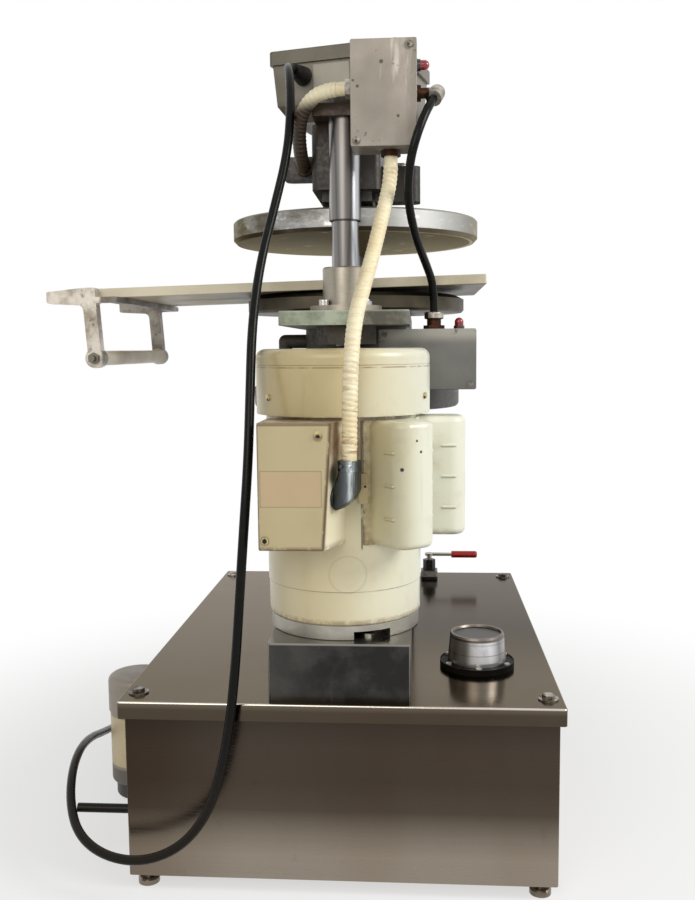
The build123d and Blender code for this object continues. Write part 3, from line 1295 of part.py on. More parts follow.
# Control box, its lid and the operator's controls
def control_shape(shrink, low, high):
    """A box that tapers to a knee and then slopes in to its base, made smaller by a wall."""
    levels = [
        (low, CONTROL_BASE_WIDTH, CONTROL_BASE_DEPTH),
        (CONTROL_BOTTOM + CONTROL_KNEE, CONTROL_KNEE_WIDTH, CONTROL_KNEE_DEPTH),
        (high, CONTROL_WIDTH, CONTROL_DEPTH),
    ]
    walls = 2 * shrink
    outlines = [Pos(0, 0, z) * Rectangle(width - walls, depth - walls) for z, width, depth in levels]
    return loft(outlines, ruled=True)


def control_face(height):
    """Half depth of the tapered box at a height above its base, over the knee."""
    share = (height - CONTROL_KNEE) / (CONTROL_HEIGHT - CONTROL_KNEE)
    return (CONTROL_KNEE_DEPTH + (CONTROL_DEPTH - CONTROL_KNEE_DEPTH) * share) / 2


PANEL_Y = control_face(CONTROL_PANEL_Z)
PANEL_Z = CONTROL_BOTTOM + CONTROL_PANEL_Z
GLAND_Y = -control_face(CONTROL_GLAND_Z)
GLAND_Z = CONTROL_BOTTOM + CONTROL_GLAND_Z


def make_control_box():
    box = control_shape(0, CONTROL_BOTTOM, CONTROL_TOP)
    hollow = control_shape(CONTROL_WALL, CONTROL_BOTTOM + CONTROL_WALL, CONTROL_TOP + CUT_OVER)
    box -= hollow
    pad_depth = CONTROL_WALL * 2
    pad_length = pad_depth + CONTROL_WALL
    for x in (KNOB_X, BUTTON_X):
        box += bar((x, PANEL_Y - pad_depth, PANEL_Z), (0, 1, 0), BUTTON_GUARD_RADIUS, pad_length)
    front = PANEL_Y + CONTROL_WALL
    guard = bar((BUTTON_X, front, PANEL_Z), (0, 1, 0), BUTTON_GUARD_RADIUS, BUTTON_GUARD)
    guard -= bar((BUTTON_X, front, PANEL_Z), (0, 1, 0), BUTTON_RADIUS + LOOSE, BUTTON_GUARD + CUT_OVER)
    box += guard
    box -= bar((KNOB_X, 0, PANEL_Z), (0, 1, 0), KNOB_SHAFT_RADIUS + RUNNING, CONTROL_DEPTH)
    box -= bar((BUTTON_X, 0, PANEL_Z), (0, 1, 0), BUTTON_STEM_RADIUS + RUNNING, CONTROL_DEPTH)
    box += bar((CONTROL_GLAND_X, GLAND_Y + pad_depth, GLAND_Z), (0, -1, 0), BOOT_ROOT_RADIUS, pad_length)
    return control_place() * box


def make_control_box_lid():
    width = CONTROL_WIDTH + 2 * CONTROL_LID_LIP
    depth = CONTROL_DEPTH + 2 * CONTROL_LID_LIP
    lid = box_between(-width / 2, width / 2, -depth / 2, depth / 2, CONTROL_TOP, CONTROL_TOP + CONTROL_LID)
    lid = fillet(lid.edges().filter_by(Axis.Z), CONTROL_LID_ROUND * 2)
    lid = fillet(lid.faces().sort_by(Axis.Z)[-1].edges(), CONTROL_LID_ROUND)
    inner_x = CONTROL_WIDTH / 2 - CONTROL_WALL
    inner_y = CONTROL_DEPTH / 2 - CONTROL_WALL
    under = CONTROL_TOP + CONTROL_LID - CONTROL_WALL
    room = box_between(-inner_x, inner_x, -inner_y, inner_y, CONTROL_TOP - CUT_OVER, under)
    return control_place() * (lid - room)


def make_temperature_knob():
    front = PANEL_Y + CONTROL_WALL + LOOSE
    knob = bar((KNOB_X, front, PANEL_Z), (0, 1, 0), KNOB_RADIUS, KNOB_HEIGHT)
    knob = chamfer(knob.edges().sort_by(Axis.Y)[-1], KNOB_HEIGHT / 8)
    pointer = box_between(
        KNOB_X - KNOB_RADIUS / 12,
        KNOB_X + KNOB_RADIUS / 12,
        front + KNOB_HEIGHT * 0.9,
        front + KNOB_HEIGHT + CUT_OVER,
        PANEL_Z,
        PANEL_Z + KNOB_RADIUS,
    )
    start = (KNOB_X, PANEL_Y - CONTROL_WALL * 2, PANEL_Z)
    shaft = bar(start, (0, 1, 0), KNOB_SHAFT_RADIUS, CONTROL_WALL * 3 + LOOSE)
    return control_place() * (knob - pointer + shaft)


def make_start_button():
    front = PANEL_Y + CONTROL_WALL
    button = bar((BUTTON_X, front + BUTTON_HEIGHT / 2, PANEL_Z), (0, 1, 0), BUTTON_RADIUS, BUTTON_HEIGHT)
    button = fillet(button.edges().sort_by(Axis.Y)[-1], BUTTON_HEIGHT / 5)
    stem_length = CONTROL_WALL * 3 + BUTTON_HEIGHT / 2
    stem = bar((BUTTON_X, PANEL_Y - CONTROL_WALL * 2, PANEL_Z), (0, 1, 0), BUTTON_STEM_RADIUS, stem_length)
    return control_place() * (button + stem)


# Junction boxes, covers and lamps
def junction_box(x, front, width, depth, low, height):
    half = width / 2
    rear = front - depth
    box = box_between(x - half, x + half, rear, front, low, low + height)
    box = fillet(box.edges().filter_by(Axis.Y), BOX_CORNER)
    wall = BOX_WALL
    return box - box_between(
        x - half + wall, x + half - wall, rear - CUT_OVER, front - wall, low + wall, low + height - wall
    )


def make_upper_box():
    return junction_box(
        UPPER_BOX_X, UPPER_BOX_FRONT, UPPER_BOX_WIDTH, UPPER_BOX_DEPTH, UPPER_BOX_BOTTOM, UPPER_BOX_HEIGHT
    )


def make_lower_box():
    front = LOWER_BOX_REAR + LOWER_BOX_DEPTH
    return junction_box(
        LOWER_BOX_X, front, LOWER_BOX_WIDTH, LOWER_BOX_DEPTH, LOWER_BOX_BOTTOM, LOWER_BOX_HEIGHT
    )


def box_cover(x, rear, width, low, height, flip):
    half = width / 2
    cover = box_between(x - half, x + half, rear - BOX_COVER, rear, low, low + height)
    cover = fillet(cover.edges().filter_by(Axis.Y), BOX_CORNER)
    cover = fillet(cover.faces().sort_by(Axis.Y)[0].edges(), BOX_COVER / 3)
    for seat in box_cover_screws(x, rear - BOX_COVER - CUT_OVER, width, low, height, flip):
        cover -= bar(seat, (0, 1, 0), SCREW_SHANK_RADIUS + LOOSE, BOX_COVER + 2 * CUT_OVER)
    return cover


def make_junction_box_covers():
    upper = box_cover(UPPER_BOX_X, UPPER_BOX_REAR, UPPER_BOX_WIDTH, UPPER_BOX_BOTTOM, UPPER_BOX_HEIGHT, 1)
    lower = box_cover(LOWER_BOX_X, LOWER_BOX_REAR, LOWER_BOX_WIDTH, LOWER_BOX_BOTTOM, LOWER_BOX_HEIGHT, -1)
    return group([upper, lower])


def pilot_lamp(seat, direction):
    plane = Plane(origin=seat, z_dir=direction)
    bezel = extrude(plane * Circle(LAMP_BEZEL_RADIUS), LAMP_BEZEL)
    lens = extrude(plane * Circle(LAMP_RADIUS), LAMP_BEZEL + LAMP_RADIUS * 0.8)
    dome = plane * Pos(0, 0, LAMP_BEZEL + LAMP_RADIUS * 0.8) * Sphere(LAMP_RADIUS)
    return bezel + lens + dome


def make_pilot_lamps():
    upper_z = UPPER_BOX_BOTTOM + UPPER_BOX_HEIGHT - UPPER_LAMP_LIFT
    upper = pilot_lamp((UPPER_BOX_RIGHT, UPPER_BOX_Y, upper_z), (1, 0, 0))
    lower_y = LOWER_BOX_REAR + LOWER_BOX_DEPTH / 2
    lower = pilot_lamp((LOWER_BOX_X + LOWER_LAMP_X, lower_y, LOWER_BOX_TOP), (0, 0, 1))
    return group([upper, lower])


# Glands and fittings where cords and conduits end
UPPER_ELBOW = Vector(UPPER_BOX_RIGHT + ELBOW_GLAND_REACH, UPPER_BOX_Y, UPPER_BOX_BOTTOM + ELBOW_GLAND_Z)
LOWER_GLAND = Vector(LOWER_BOX_X + GLAND_SIDE_X, LOWER_BOX_REAR + GLAND_INSET, LOWER_BOX_TOP)
LONG_CONDUIT_TOP = Vector(UPPER_BOX_X + LONG_CONDUIT_SIDE, UPPER_BOX_Y, UPPER_BOX_BOTTOM)
SHORT_CONDUIT_START = Vector(UPPER_BOX_LEFT, UPPER_BOX_Y, UPPER_BOX_BOTTOM + SHORT_CONDUIT_RISE)
SHORT_CONDUIT_X = -HEAD_WIDTH / 2 - SHORT_CONDUIT_SIDE
SHORT_CONDUIT_END = Vector(SHORT_CONDUIT_X, EAR_FACE, LEFT_EAR_LOW + LEFT_EAR_HEIGHT / 2)
LINK_EXIT = Vector(-0.3, -0.72, -0.62).normalized()


def lower_gland():
    low = LOWER_BOX_TOP
    high = LOWER_BOX_TOP + GLAND_HEIGHT
    base = drum(LOWER_GLAND.X, LOWER_GLAND.Y, GLAND_BASE_RADIUS, low, high)
    collar = drum(LOWER_GLAND.X, LOWER_GLAND.Y, GLAND_RADIUS, high - GLAND_COLLAR, high)
    collar = fillet(collar.edges().filter_by(GeomType.CIRCLE), GLAND_COLLAR / 5)
    nut = hexagon(LOWER_GLAND.X, LOWER_GLAND.Y, GLAND_RADIUS * 1.9, low, low + GLAND_COLLAR / 2)
    return base + collar + nut


def upper_elbow():
    """An elbow on the box's side whose collar looks down and to the rear, where the link cord leaves."""
    side = (UPPER_BOX_RIGHT, UPPER_ELBOW.Y, UPPER_ELBOW.Z)
    nipple = bar(side, (1, 0, 0), UPPER_NIPPLE_RADIUS, ELBOW_GLAND_REACH)
    nut = bar(side, (1, 0, 0), UPPER_GLAND_RADIUS, GLAND_COLLAR / 2)
    knuckle = Pos(*UPPER_ELBOW) * Sphere(UPPER_GLAND_RADIUS)
    collar = bar(UPPER_ELBOW, LINK_EXIT, UPPER_GLAND_RADIUS, ELBOW_GLAND_DROP)
    return nipple + nut + knuckle + collar


def conduit_nut(point, direction):
    plane = Plane(origin=point, z_dir=direction)
    return extrude(plane * RegularPolygon(CONDUIT_NUT_RADIUS, 8), CONDUIT_NUT)


def make_cord_fittings():
    fittings = [
        lower_gland(),
        upper_elbow(),
        conduit_nut(LONG_CONDUIT_TOP, (0, 0, -1)),
        conduit_nut(SHORT_CONDUIT_START, (-1, 0, 0)),
        conduit_nut(SHORT_CONDUIT_END, (0, -1, 0)),
        cord_boot(),
        hose_fitting(),
    ]
    return group(fittings)


def boot_frame():
    return control_place() * Pos(CONTROL_GLAND_X, GLAND_Y - CONTROL_WALL, GLAND_Z) * Rot(90, 0, 0)


def cord_boot():
    """The tapered strain relief where the power cord leaves the control box."""
    root = Circle(BOOT_ROOT_RADIUS)
    tip = Pos(0, 0, BOOT_LENGTH) * Circle(BOOT_TIP_RADIUS)
    return boot_frame() * loft([root, tip])


# Ribbed conduits
def conduit_path(points):
    corners = route_radii(points, 2 * CONDUIT_RADIUS)
    return FilletPolyline(*points, radius=corners)


def route_radii(points, diameter):
    """The largest arc that each corner of a route has room for."""
    vectors = [Vector(*p) for p in points]
    radii = []
    for before, here, after in zip(vectors, vectors[1:], vectors[2:]):
        turn = math.radians((here - before).get_angle(after - here))
        run = min((here - before).length, (after - here).length)
        radii.append(0.45 * run / math.tan(turn / 2))
    print("arcs in diameters", [round(r / diameter, 1) for r in radii])
    return radii


def ribbed_tube(path, across, name):
    """A tube with rounded ribs along a path, open through its bore, with plain straight ends.

    The path runs nowhere along the direction across, from which each ring takes its turn.
    """
    plain = 2 * CONDUIT_RADIUS
    ribs = int((path.length - 2 * plain) / CONDUIT_RIB_PITCH)
    pitch = (path.length - 2 * plain) / ribs
    crest = [(0.0, CONDUIT_ROOT), (0.25, CONDUIT_RADIUS), (0.6, CONDUIT_RADIUS), (0.85, CONDUIT_ROOT)]
    stations = [(0.0, CONDUIT_ROOT)]
    for i in range(ribs):
        stations += [(plain + pitch * (i + share), radius) for share, radius in crest]
    stations.append((path.length, CONDUIT_ROOT))
    rings = [conduit_ring(path, across, at, radius) for at, radius in stations]
    bore_marks = [at for at, radius in stations if radius == CONDUIT_ROOT]
    bore = [conduit_ring(path, across, at, CONDUIT_BORE) for at in bore_marks]
    print(name, "ribs", ribs, "length", round(path.length, 1))
    return loft(rings, ruled=True) - loft(bore, ruled=True)


def conduit_ring(path, across, distance, radius):
    at = path.position_at(distance, position_mode=PositionMode.LENGTH)
    along = path.tangent_at(distance, position_mode=PositionMode.LENGTH)
    steady = across.cross(along)
    return Plane(origin=at, x_dir=steady, z_dir=along) * Circle(radius)


def long_conduit_points():
    top = LONG_CONDUIT_TOP - Vector(0, 0, CONDUIT_NUT)
    end = elbow_top()
    drop = top.Z - end.Z
    return [
        tuple(top),
        (top.X, top.Y, top.Z - CONDUIT_STRAIGHT),
        (60, -254, end.Z + 0.82 * drop),
        (46, -280, end.Z + 0.67 * drop),
        (34, -325, end.Z + 0.545 * drop),
        (26, -376, end.Z + 0.45 * drop),
        (22, -402, end.Z + 0.333 * drop),
        (20, -405, end.Z + 0.205 * drop),
        (end.X, end.Y, end.Z + CONDUIT_STRAIGHT),
        tuple(end),
    ]


def make_long_conduit():
    return ribbed_tube(conduit_path(long_conduit_points()), Vector(0, 1, 0), "long conduit")


def short_conduit_points():
    start = SHORT_CONDUIT_START - Vector(CONDUIT_NUT, 0, 0)
    end = SHORT_CONDUIT_END - Vector(0, CONDUIT_NUT, 0)
    return [
        tuple(start),
        (start.X - 30, start.Y, start.Z),
        (start.X - 58, start.Y + 14, start.Z - 16),
        (start.X - 73, start.Y + 44, start.Z - 42),
        (end.X, end.Y - 38, end.Z),
        tuple(end),
    ]


def make_short_conduit():
    return ribbed_tube(conduit_path(short_conduit_points()), Vector(0, 0, 1), "short conduit")


# Plain cords
def cord_tube(points, radius, name):
    """A round cord along straight runs joined by arcs."""
    path = FilletPolyline(*points, radius=route_radii(points, 2 * radius))
    ring = Plane(origin=path @ 0, z_dir=path % 0) * Circle(radius)
    tube = sweep(ring, path=path)
    share = tube.volume / (math.pi * radius ** 2 * path.length)
    print(name, "length", round(path.length, 1), "volume share", round(share, 4))
    return tube


def link_cord_points():
    start = UPPER_ELBOW + LINK_EXIT * ELBOW_GLAND_DROP
    end = LOWER_GLAND + Vector(0, 0, GLAND_HEIGHT)
    return [
        tuple(start),
        tuple(start + LINK_EXIT * 30),
        tuple(end + Vector(-27, -171.5, 232)),
        tuple(end + Vector(-37, -163.5, 194)),
        tuple(end + Vector(-39, -131.5, 149)),
        tuple(end + Vector(-28, -86.5, 104)),
        tuple(end + Vector(-13, -39.5, 72)),
        (end.X, end.Y, end.Z + 40),
        tuple(end),
    ]


def make_link_cord():
    return cord_tube(link_cord_points(), LINK_RADIUS, "link cord")


def power_cord_points():
    start = boot_frame() * Pos(0, 0, BOOT_LENGTH)
    ahead = boot_frame() * Pos(0, 0, BOOT_LENGTH + 26)
    end = coil_start() - Vector(0, COIL_LEAD, 0)
    return [
        tuple(start.position),
        tuple(ahead.position),
        (-81, -176, 1158),
        (-75, -214, 1098),
        (-78, -236, 1030),
        (-95, -252, 955),
        (-113, -282, 872),
        (-119, -326, 784),
        (-117, -362, 694),
        (-117, -388, 604),
        (-122, -404, 514),
        (-128, -412, 424),
        (-134, -417, 338),
        (-142, -420, 262),
        (-154, -424, 194),
        (-174, -430, 132),
        (-210, -435, 88),
        (-262, -436, 66),
        (-318, -424, 66),
        (-366, -392, 78),
        (-396, -340, 98),
        (-416, -275, 118),
        (-428, -205, 124),
        (-436, -130, 112),
        (-441, -50, 88),
        (-447, 40, 64),
        (end.X - 3, 118, 44),
        (end.X, end.Y - 60, end.Z),
        tuple(end),
    ]


def make_power_cord():
    return cord_tube(power_cord_points(), CORD_RADIUS, "power cord")


# Coil of the cord's spare length, and the plug
def coil_point(turn):
    """A point on the coil's centre line after a number of turns, going down from the top layer."""
    angle = math.radians(180 - 360 * turn)
    height = CORD_RADIUS + CORD_LIFT + COIL_STEP * (COIL_TURNS - turn)
    return Vector(COIL_X + COIL_RADIUS * math.cos(angle), COIL_Y + COIL_RADIUS * math.sin(angle), height)


def coil_heading(turn):
    angle = math.radians(180 - 360 * turn)
    around = 2 * math.pi * COIL_RADIUS
    return Vector(around * math.sin(angle), -around * math.cos(angle), -COIL_STEP).normalized()


def coil_start():
    return coil_point(0)


def biarc(start, start_heading, end, end_heading):
    """Two tangent arcs from one point and heading to another."""
    chord = end - start
    blend = start_heading + end_heading
    a = 2 * (1 - start_heading.dot(end_heading))
    b = 2 * chord.dot(blend)
    c = -chord.dot(chord)
    reach = (-b + math.sqrt(b * b - 4 * a * c)) / (2 * a)
    first = start + start_heading * reach
    last = end - end_heading * reach
    joint = (first + last) / 2
    heading = (last - first).normalized()
    return [TangentArc(start, joint, tangent=start_heading), TangentArc(joint, end, tangent=heading)]


def coil_edges():
    """The lead in, quarter turns of the coil and the straight tail to the plug."""
    quarters = COIL_TURNS * 4
    level = Vector(0, 1, 0)
    edges = [Line(coil_start() - Vector(0, COIL_LEAD, 0), coil_start())]
    for i in range(quarters):
        t0 = i / 4
        t1 = (i + 1) / 4
        heading0 = level if i == 0 else coil_heading(t0)
        heading1 = level if i == quarters - 1 else coil_heading(t1)
        edges += biarc(coil_point(t0), heading0, coil_point(t1), heading1)
    edges.append(Line(coil_point(COIL_TURNS), coil_tail()))
    return edges


def coil_tail():
    return coil_point(COIL_TURNS) + Vector(0, COIL_TAIL, 0)


def coil_self_gap(path):
    """The least gap between strands that are at least half a turn apart along the cord."""
    count = 240
    points = [path @ (i / count) for i in range(count + 1)]
    apart = int(count * 0.5 / COIL_TURNS) - 10
    least = min((p - q).length for i, p in enumerate(points) for q in points[i + apart:])
    return least - 2 * CORD_RADIUS


def make_cord_coil():
    path = Wire(coil_edges())
    ring = Plane(origin=path @ 0, z_dir=path % 0) * Circle(CORD_RADIUS)
    coil = sweep(ring, path=path)
    share = coil.volume / (math.pi * CORD_RADIUS ** 2 * path.length)
    print("coil length", round(path.length, 1), "volume share", round(share, 4))
    print("coil gap", round(coil_self_gap(path), 2))
    return coil


def plug_ring(x, y, z, radius):
    return Plane(origin=(x, y, z), z_dir=(0, 1, 0)) * Circle(radius)


def make_cord_plug():
    start = coil_tail()
    tail = extrude(Plane(origin=start, z_dir=(0, 1, 0)) * Circle(CORD_RADIUS), PLUG_TAIL)
    face_y = start.Y + PLUG_TAIL
    centre_z = PLUG_RADIUS + CORD_LIFT
    tip = face_y + PLUG_LENGTH
    neck_z = PLUG_NECK_RADIUS + CORD_LIFT + LOOSE
    root = plug_ring(start.X, start.Y + PLUG_TAIL / 2, neck_z, PLUG_NECK_RADIUS)
    belly = plug_ring(start.X, face_y + PLUG_LENGTH / 3, centre_z, PLUG_RADIUS)
    front = plug_ring(start.X, tip, centre_z, PLUG_RADIUS)
    plug = tail + loft([root, belly]) + loft([belly, front])
    for side in (-1, 1):
        x = start.X + side * PLUG_BLADE_SPACING / 2
        plug += box_between(
            x - PLUG_BLADE_THICKNESS / 2,
            x + PLUG_BLADE_THICKNESS / 2,
            tip - CUT_OVER,
            tip + PLUG_BLADE_LENGTH,
            centre_z - PLUG_BLADE_WIDTH / 2,
            centre_z + PLUG_BLADE_WIDTH / 2,
        )
    pin = (start.X, tip - CUT_OVER, centre_z + PLUG_BLADE_SPACING * 0.75)
    return plug + bar(pin, (0, 1, 0), PLUG_BLADE_THICKNESS * 1.5, PLUG_BLADE_LENGTH + CUT_OVER)


def make_cord_clip():
    """The peg on the tank's left wall that the power cord lies against."""
    start = (TANK_LEFT, -TANK_DEPTH / 2 + CLIP_INSET, CLIP_Z)
    peg = bar(start, (-1, 0, 0), CLIP_RADIUS, CLIP_REACH)
    return peg + bar(start, (-1, 0, 0), CLIP_PLATE_RADIUS, CLIP_PLATE)


# Hand valve
VALVE_NUT_TOP = LID_TOP + VALVE_BASE_HEIGHT + VALVE_NUT_HEIGHT
LEVER_LOW = VALVE_NUT_TOP + VALVE_STEM - LEVER_THICKNESS


def make_valve_body():
    half = VALVE_BASE / 2
    base = box_between(
        VALVE_X - half, VALVE_X + half, VALVE_Y - half, VALVE_Y + half, LID_TOP, LID_TOP + VALVE_BASE_HEIGHT
    )
    base = chamfer(base.edges().filter_by(Axis.Z), VALVE_BASE / 10)
    nut = hexagon(VALVE_X, VALVE_Y, VALVE_NUT_FLATS, LID_TOP + VALVE_BASE_HEIGHT, VALVE_NUT_TOP)
    stem = VALVE_STEM_RADIUS + RUNNING
    return base + nut - drum(VALVE_X, VALVE_Y, stem, LID_TOP + VALVE_BASE_HEIGHT, VALVE_NUT_TOP + CUT_OVER)


def make_valve_lever():
    stem_low = LID_TOP + VALVE_BASE_HEIGHT + LOOSE
    stem = drum(VALVE_X, VALVE_Y, VALVE_STEM_RADIUS, stem_low, LEVER_LOW)
    hub = drum(VALVE_X, VALVE_Y, LEVER_HUB_RADIUS, LEVER_LOW, LEVER_LOW + LEVER_THICKNESS)
    half = LEVER_WIDTH / 2
    tip = VALVE_X + LEVER_LENGTH
    blade = box_between(VALVE_X, tip, VALVE_Y - half, VALVE_Y + half, LEVER_LOW, LEVER_LOW + LEVER_THICKNESS)
    return stem + hub + blade


def make_lever_grip():
    start = VALVE_X + LEVER_LENGTH - LEVER_GRIP_LENGTH
    middle = LEVER_LOW + LEVER_THICKNESS / 2
    length = LEVER_GRIP_LENGTH + LEVER_GRIP_RADIUS
    grip = bar((start, VALVE_Y, middle), (1, 0, 0), LEVER_GRIP_RADIUS, length)
    grip = fillet(grip.edges().sort_by(Axis.X)[-1], LEVER_GRIP_RADIUS * 0.6)
    half = LEVER_WIDTH / 2
    slot = box_between(
        start - CUT_OVER,
        VALVE_X + LEVER_LENGTH,
        VALVE_Y - half,
        VALVE_Y + half,
        LEVER_LOW,
        LEVER_LOW + LEVER_THICKNESS,
    )
    return grip - slot


# Pressure hose
def hose_points():
    return [
        (HOSE_X, PRESS_Y, HOSE_ELBOW_Z - HOSE_ELBOW_DROP),
        (HOSE_X, PRESS_Y, PEDESTAL_TOP - PEDESTAL_FLANGE - 18),
        (HOSE_X - 4, PRESS_Y, 530),
        (HOSE_X - 11, PRESS_Y, 430),
        (HOSE_FITTING_X, PRESS_Y, 345),
        (HOSE_FITTING_X, PRESS_Y, LID_TOP + HOSE_FITTING),
    ]


def hose_fitting():
    """The hexagon fitting on the lid that the hose ends on."""
    return hexagon(HOSE_FITTING_X, PRESS_Y, HOSE_FITTING_FLATS, LID_TOP, LID_TOP + HOSE_FITTING)


def make_pressure_hose():
    return cord_tube(hose_points(), HOSE_RADIUS, "pressure hose")


NODES = {
    "tank_body": make_tank_body,
    "tank_lid": make_tank_lid,
    "hex_bolts": make_hex_bolts,
    "tank_feet": make_tank_feet,
    "motor_riser": make_motor_riser,
    "pump_adapter": make_pump_adapter,
    "gear_pump": make_gear_pump,
    "motor_endshield": make_motor_endshield,
    "motor_frame": make_motor_frame,
    "motor_stator": make_motor_stator,
    "motor_rotor": make_motor_rotor,
    "motor_bearings": make_motor_bearings,
    "cooling_fan": make_cooling_fan,
    "fan_cover": make_fan_cover,
    "conduit_box": make_conduit_box,
    "conduit_box_cover": make_conduit_box_cover,
    "capacitor_covers": make_capacitor_covers,
    "capacitors": make_capacitors,
    "conduit_elbow": make_conduit_elbow,
    "cover_screws": make_cover_screws,
    "breather_flange": make_breather_flange,
    "breather_cap": make_breather_cap,
    "filter_head": make_filter_head,
    "filter_can": make_filter_can,
    "pedestal": make_pedestal,
    "cylinder_barrel": make_cylinder_barrel,
    "ram": make_ram,
    "bed_plate": make_bed_plate,
    "guide_posts": make_guide_posts,
    "post_collars": make_post_collars,
    "collar_screws": make_collar_screws,
    "post_nuts": make_post_nuts,
    "lower_platen": make_lower_platen,
    "upper_platen": make_upper_platen,
    "platen_insulator": make_platen_insulator,
    "head_casting": make_head_casting,
    "die_board": make_die_board,
    "handle_frame": make_handle_frame,
    "handle_rod": make_handle_rod,
    "handle_grip": make_handle_grip,
    "control_box": make_control_box,
    "control_box_lid": make_control_box_lid,
    "temperature_knob": make_temperature_knob,
    "start_button": make_start_button,
    "upper_box": make_upper_box,
    "lower_box": make_lower_box,
    "junction_box_covers": make_junction_box_covers,
    "pilot_lamps": make_pilot_lamps,
    "cord_fittings": make_cord_fittings,
    "long_conduit": make_long_conduit,
    "short_conduit": make_short_conduit,
    "link_cord": make_link_cord,
    "power_cord": make_power_cord,
    "cord_coil": make_cord_coil,
    "cord_plug": make_cord_plug,
    "cord_clip": make_cord_clip,
    "valve_body": make_valve_body,
    "valve_lever": make_valve_lever,
    "lever_grip": make_lever_grip,
    "pressure_hose": make_pressure_hose,
}

os.makedirs("parts", exist_ok=True)
for node, make in NODES.items():
    export_step(make(), os.path.join("parts", node + ".step"))
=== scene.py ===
import bpy
import math
from functools import partial, reduce
from mathutils import Matrix, Vector


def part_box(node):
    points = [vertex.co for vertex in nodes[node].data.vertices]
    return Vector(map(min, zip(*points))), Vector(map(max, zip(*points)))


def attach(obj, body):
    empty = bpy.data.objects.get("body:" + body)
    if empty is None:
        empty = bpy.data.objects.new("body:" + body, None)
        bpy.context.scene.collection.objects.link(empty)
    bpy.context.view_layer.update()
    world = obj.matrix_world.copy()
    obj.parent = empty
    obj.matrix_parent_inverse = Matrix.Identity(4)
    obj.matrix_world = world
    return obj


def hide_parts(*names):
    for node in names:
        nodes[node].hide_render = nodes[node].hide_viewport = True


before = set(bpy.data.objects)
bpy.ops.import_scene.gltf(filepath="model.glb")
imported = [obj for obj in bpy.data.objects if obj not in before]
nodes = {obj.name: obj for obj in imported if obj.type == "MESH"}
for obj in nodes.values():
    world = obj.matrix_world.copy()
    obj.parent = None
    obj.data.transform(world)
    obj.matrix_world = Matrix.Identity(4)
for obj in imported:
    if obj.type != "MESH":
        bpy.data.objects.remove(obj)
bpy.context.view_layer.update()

# Camera of the photograph, in metres and degrees
PHOTO_HEIGHT = 900
FOCAL_PIXELS = 970.0
SENSOR = 24.0
CAMERA_PLACE = (0.1064, -1.6522, 0.7496)
CAMERA_PITCH = 5.93
CAMERA_YAW = 4.13
CAMERA_ROLL = -0.53

# Studio floor: its size and level, the two distances from the middle that it fades to white between, and its
# share of white at each
FLOOR_SIZE = 40.0
FLOOR_LEVEL = -0.0005
FLOOR_FADE = (0.35, 1.3)
FLOOR_WHITE = (0.6, 1.0)

# Pressed ridges on the sides of the capacitor covers, placed round the motor's axis
MOTOR_FOOT = (0.0, -0.256, 0.0)
CAPACITOR_TURNS = (-51.0, -1.0)
RIDGE_LEVELS = (0.527, 0.571, 0.6145)
RIDGE_OUT = 0.151
RIDGE_SIDE = 0.033
RIDGE_SIZE = (0.021, 0.0036, 0.0034)
RIDGE_SOFT = 0.42 * RIDGE_SIZE[2]

# Body of the conduit's elbow: its place on the box's slanted wall, the way out of the wall, its outline as
# pairs of reach from the wall and height over the bend, its ring on the wall, and the clamp with its screws
ELBOW_SEAT = (-0.0011, -0.3958, 0.556)
ELBOW_OUT = (0.941, -0.338, 0.0)
ELBOW_OUTLINE = [
    (0.011, 0.040), (0.001, 0.010), (0.001, -0.015), (0.008, -0.0155), (0.026, -0.002), (0.033, 0.010),
    (0.033, 0.040),
]
ELBOW_THICK = 0.026
ELBOW_SOFT = 0.0075
ELBOW_RING = 0.0168
ELBOW_RING_DEPTH = 0.004
ELBOW_CLAMP_REACH = 0.021
ELBOW_CLAMP_NEARER = 0.0145
ELBOW_CLAMP_RISE = 0.043
ELBOW_SCREW_SPREAD = 0.0056
ELBOW_SCREW_RADIUS = 0.0027
ELBOW_SCREW_LENGTH = 0.005

# Small tab on the motor's frame beside the left capacitor cover, and its screw
TAB_SIZE = (0.0135, 0.003, 0.041)
TAB_SOFT = 0.0008
TAB_PLACE = (0.0338, -0.3662, 0.5635)
TAB_TURN = 19.3
TAB_SCREW = (0.0362, -0.3669, 0.5665)
TAB_SCREW_RADIUS = 0.0042
TAB_SCREW_LENGTH = 0.004
TAB_SOCKET_RADIUS = 0.0019
TAB_SOCKET_PROUD = 0.0003

# Small pieces: sides of round ones, bevel of short rods as a share of their radius, angle for smooth shading
ROUND_SIDES = 32
ROD_SOFT = 0.12
SMOOTH_ANGLE = 40

# Heads of the visible screws: on the fan cover, the conduit box's cover and the upper box's cover
FAN_SCREWS = [(-0.0966, -0.3366, 0.682), (0.1165, -0.3030, 0.682)]
COVER_SCREWS = [(-0.0202, -0.4253, 0.6382), (-0.0910, -0.4253, 0.5030)]
BOX_SCREWS = [(0.0949, -0.2766, 1.1629), (0.0228, -0.2766, 1.0359)]

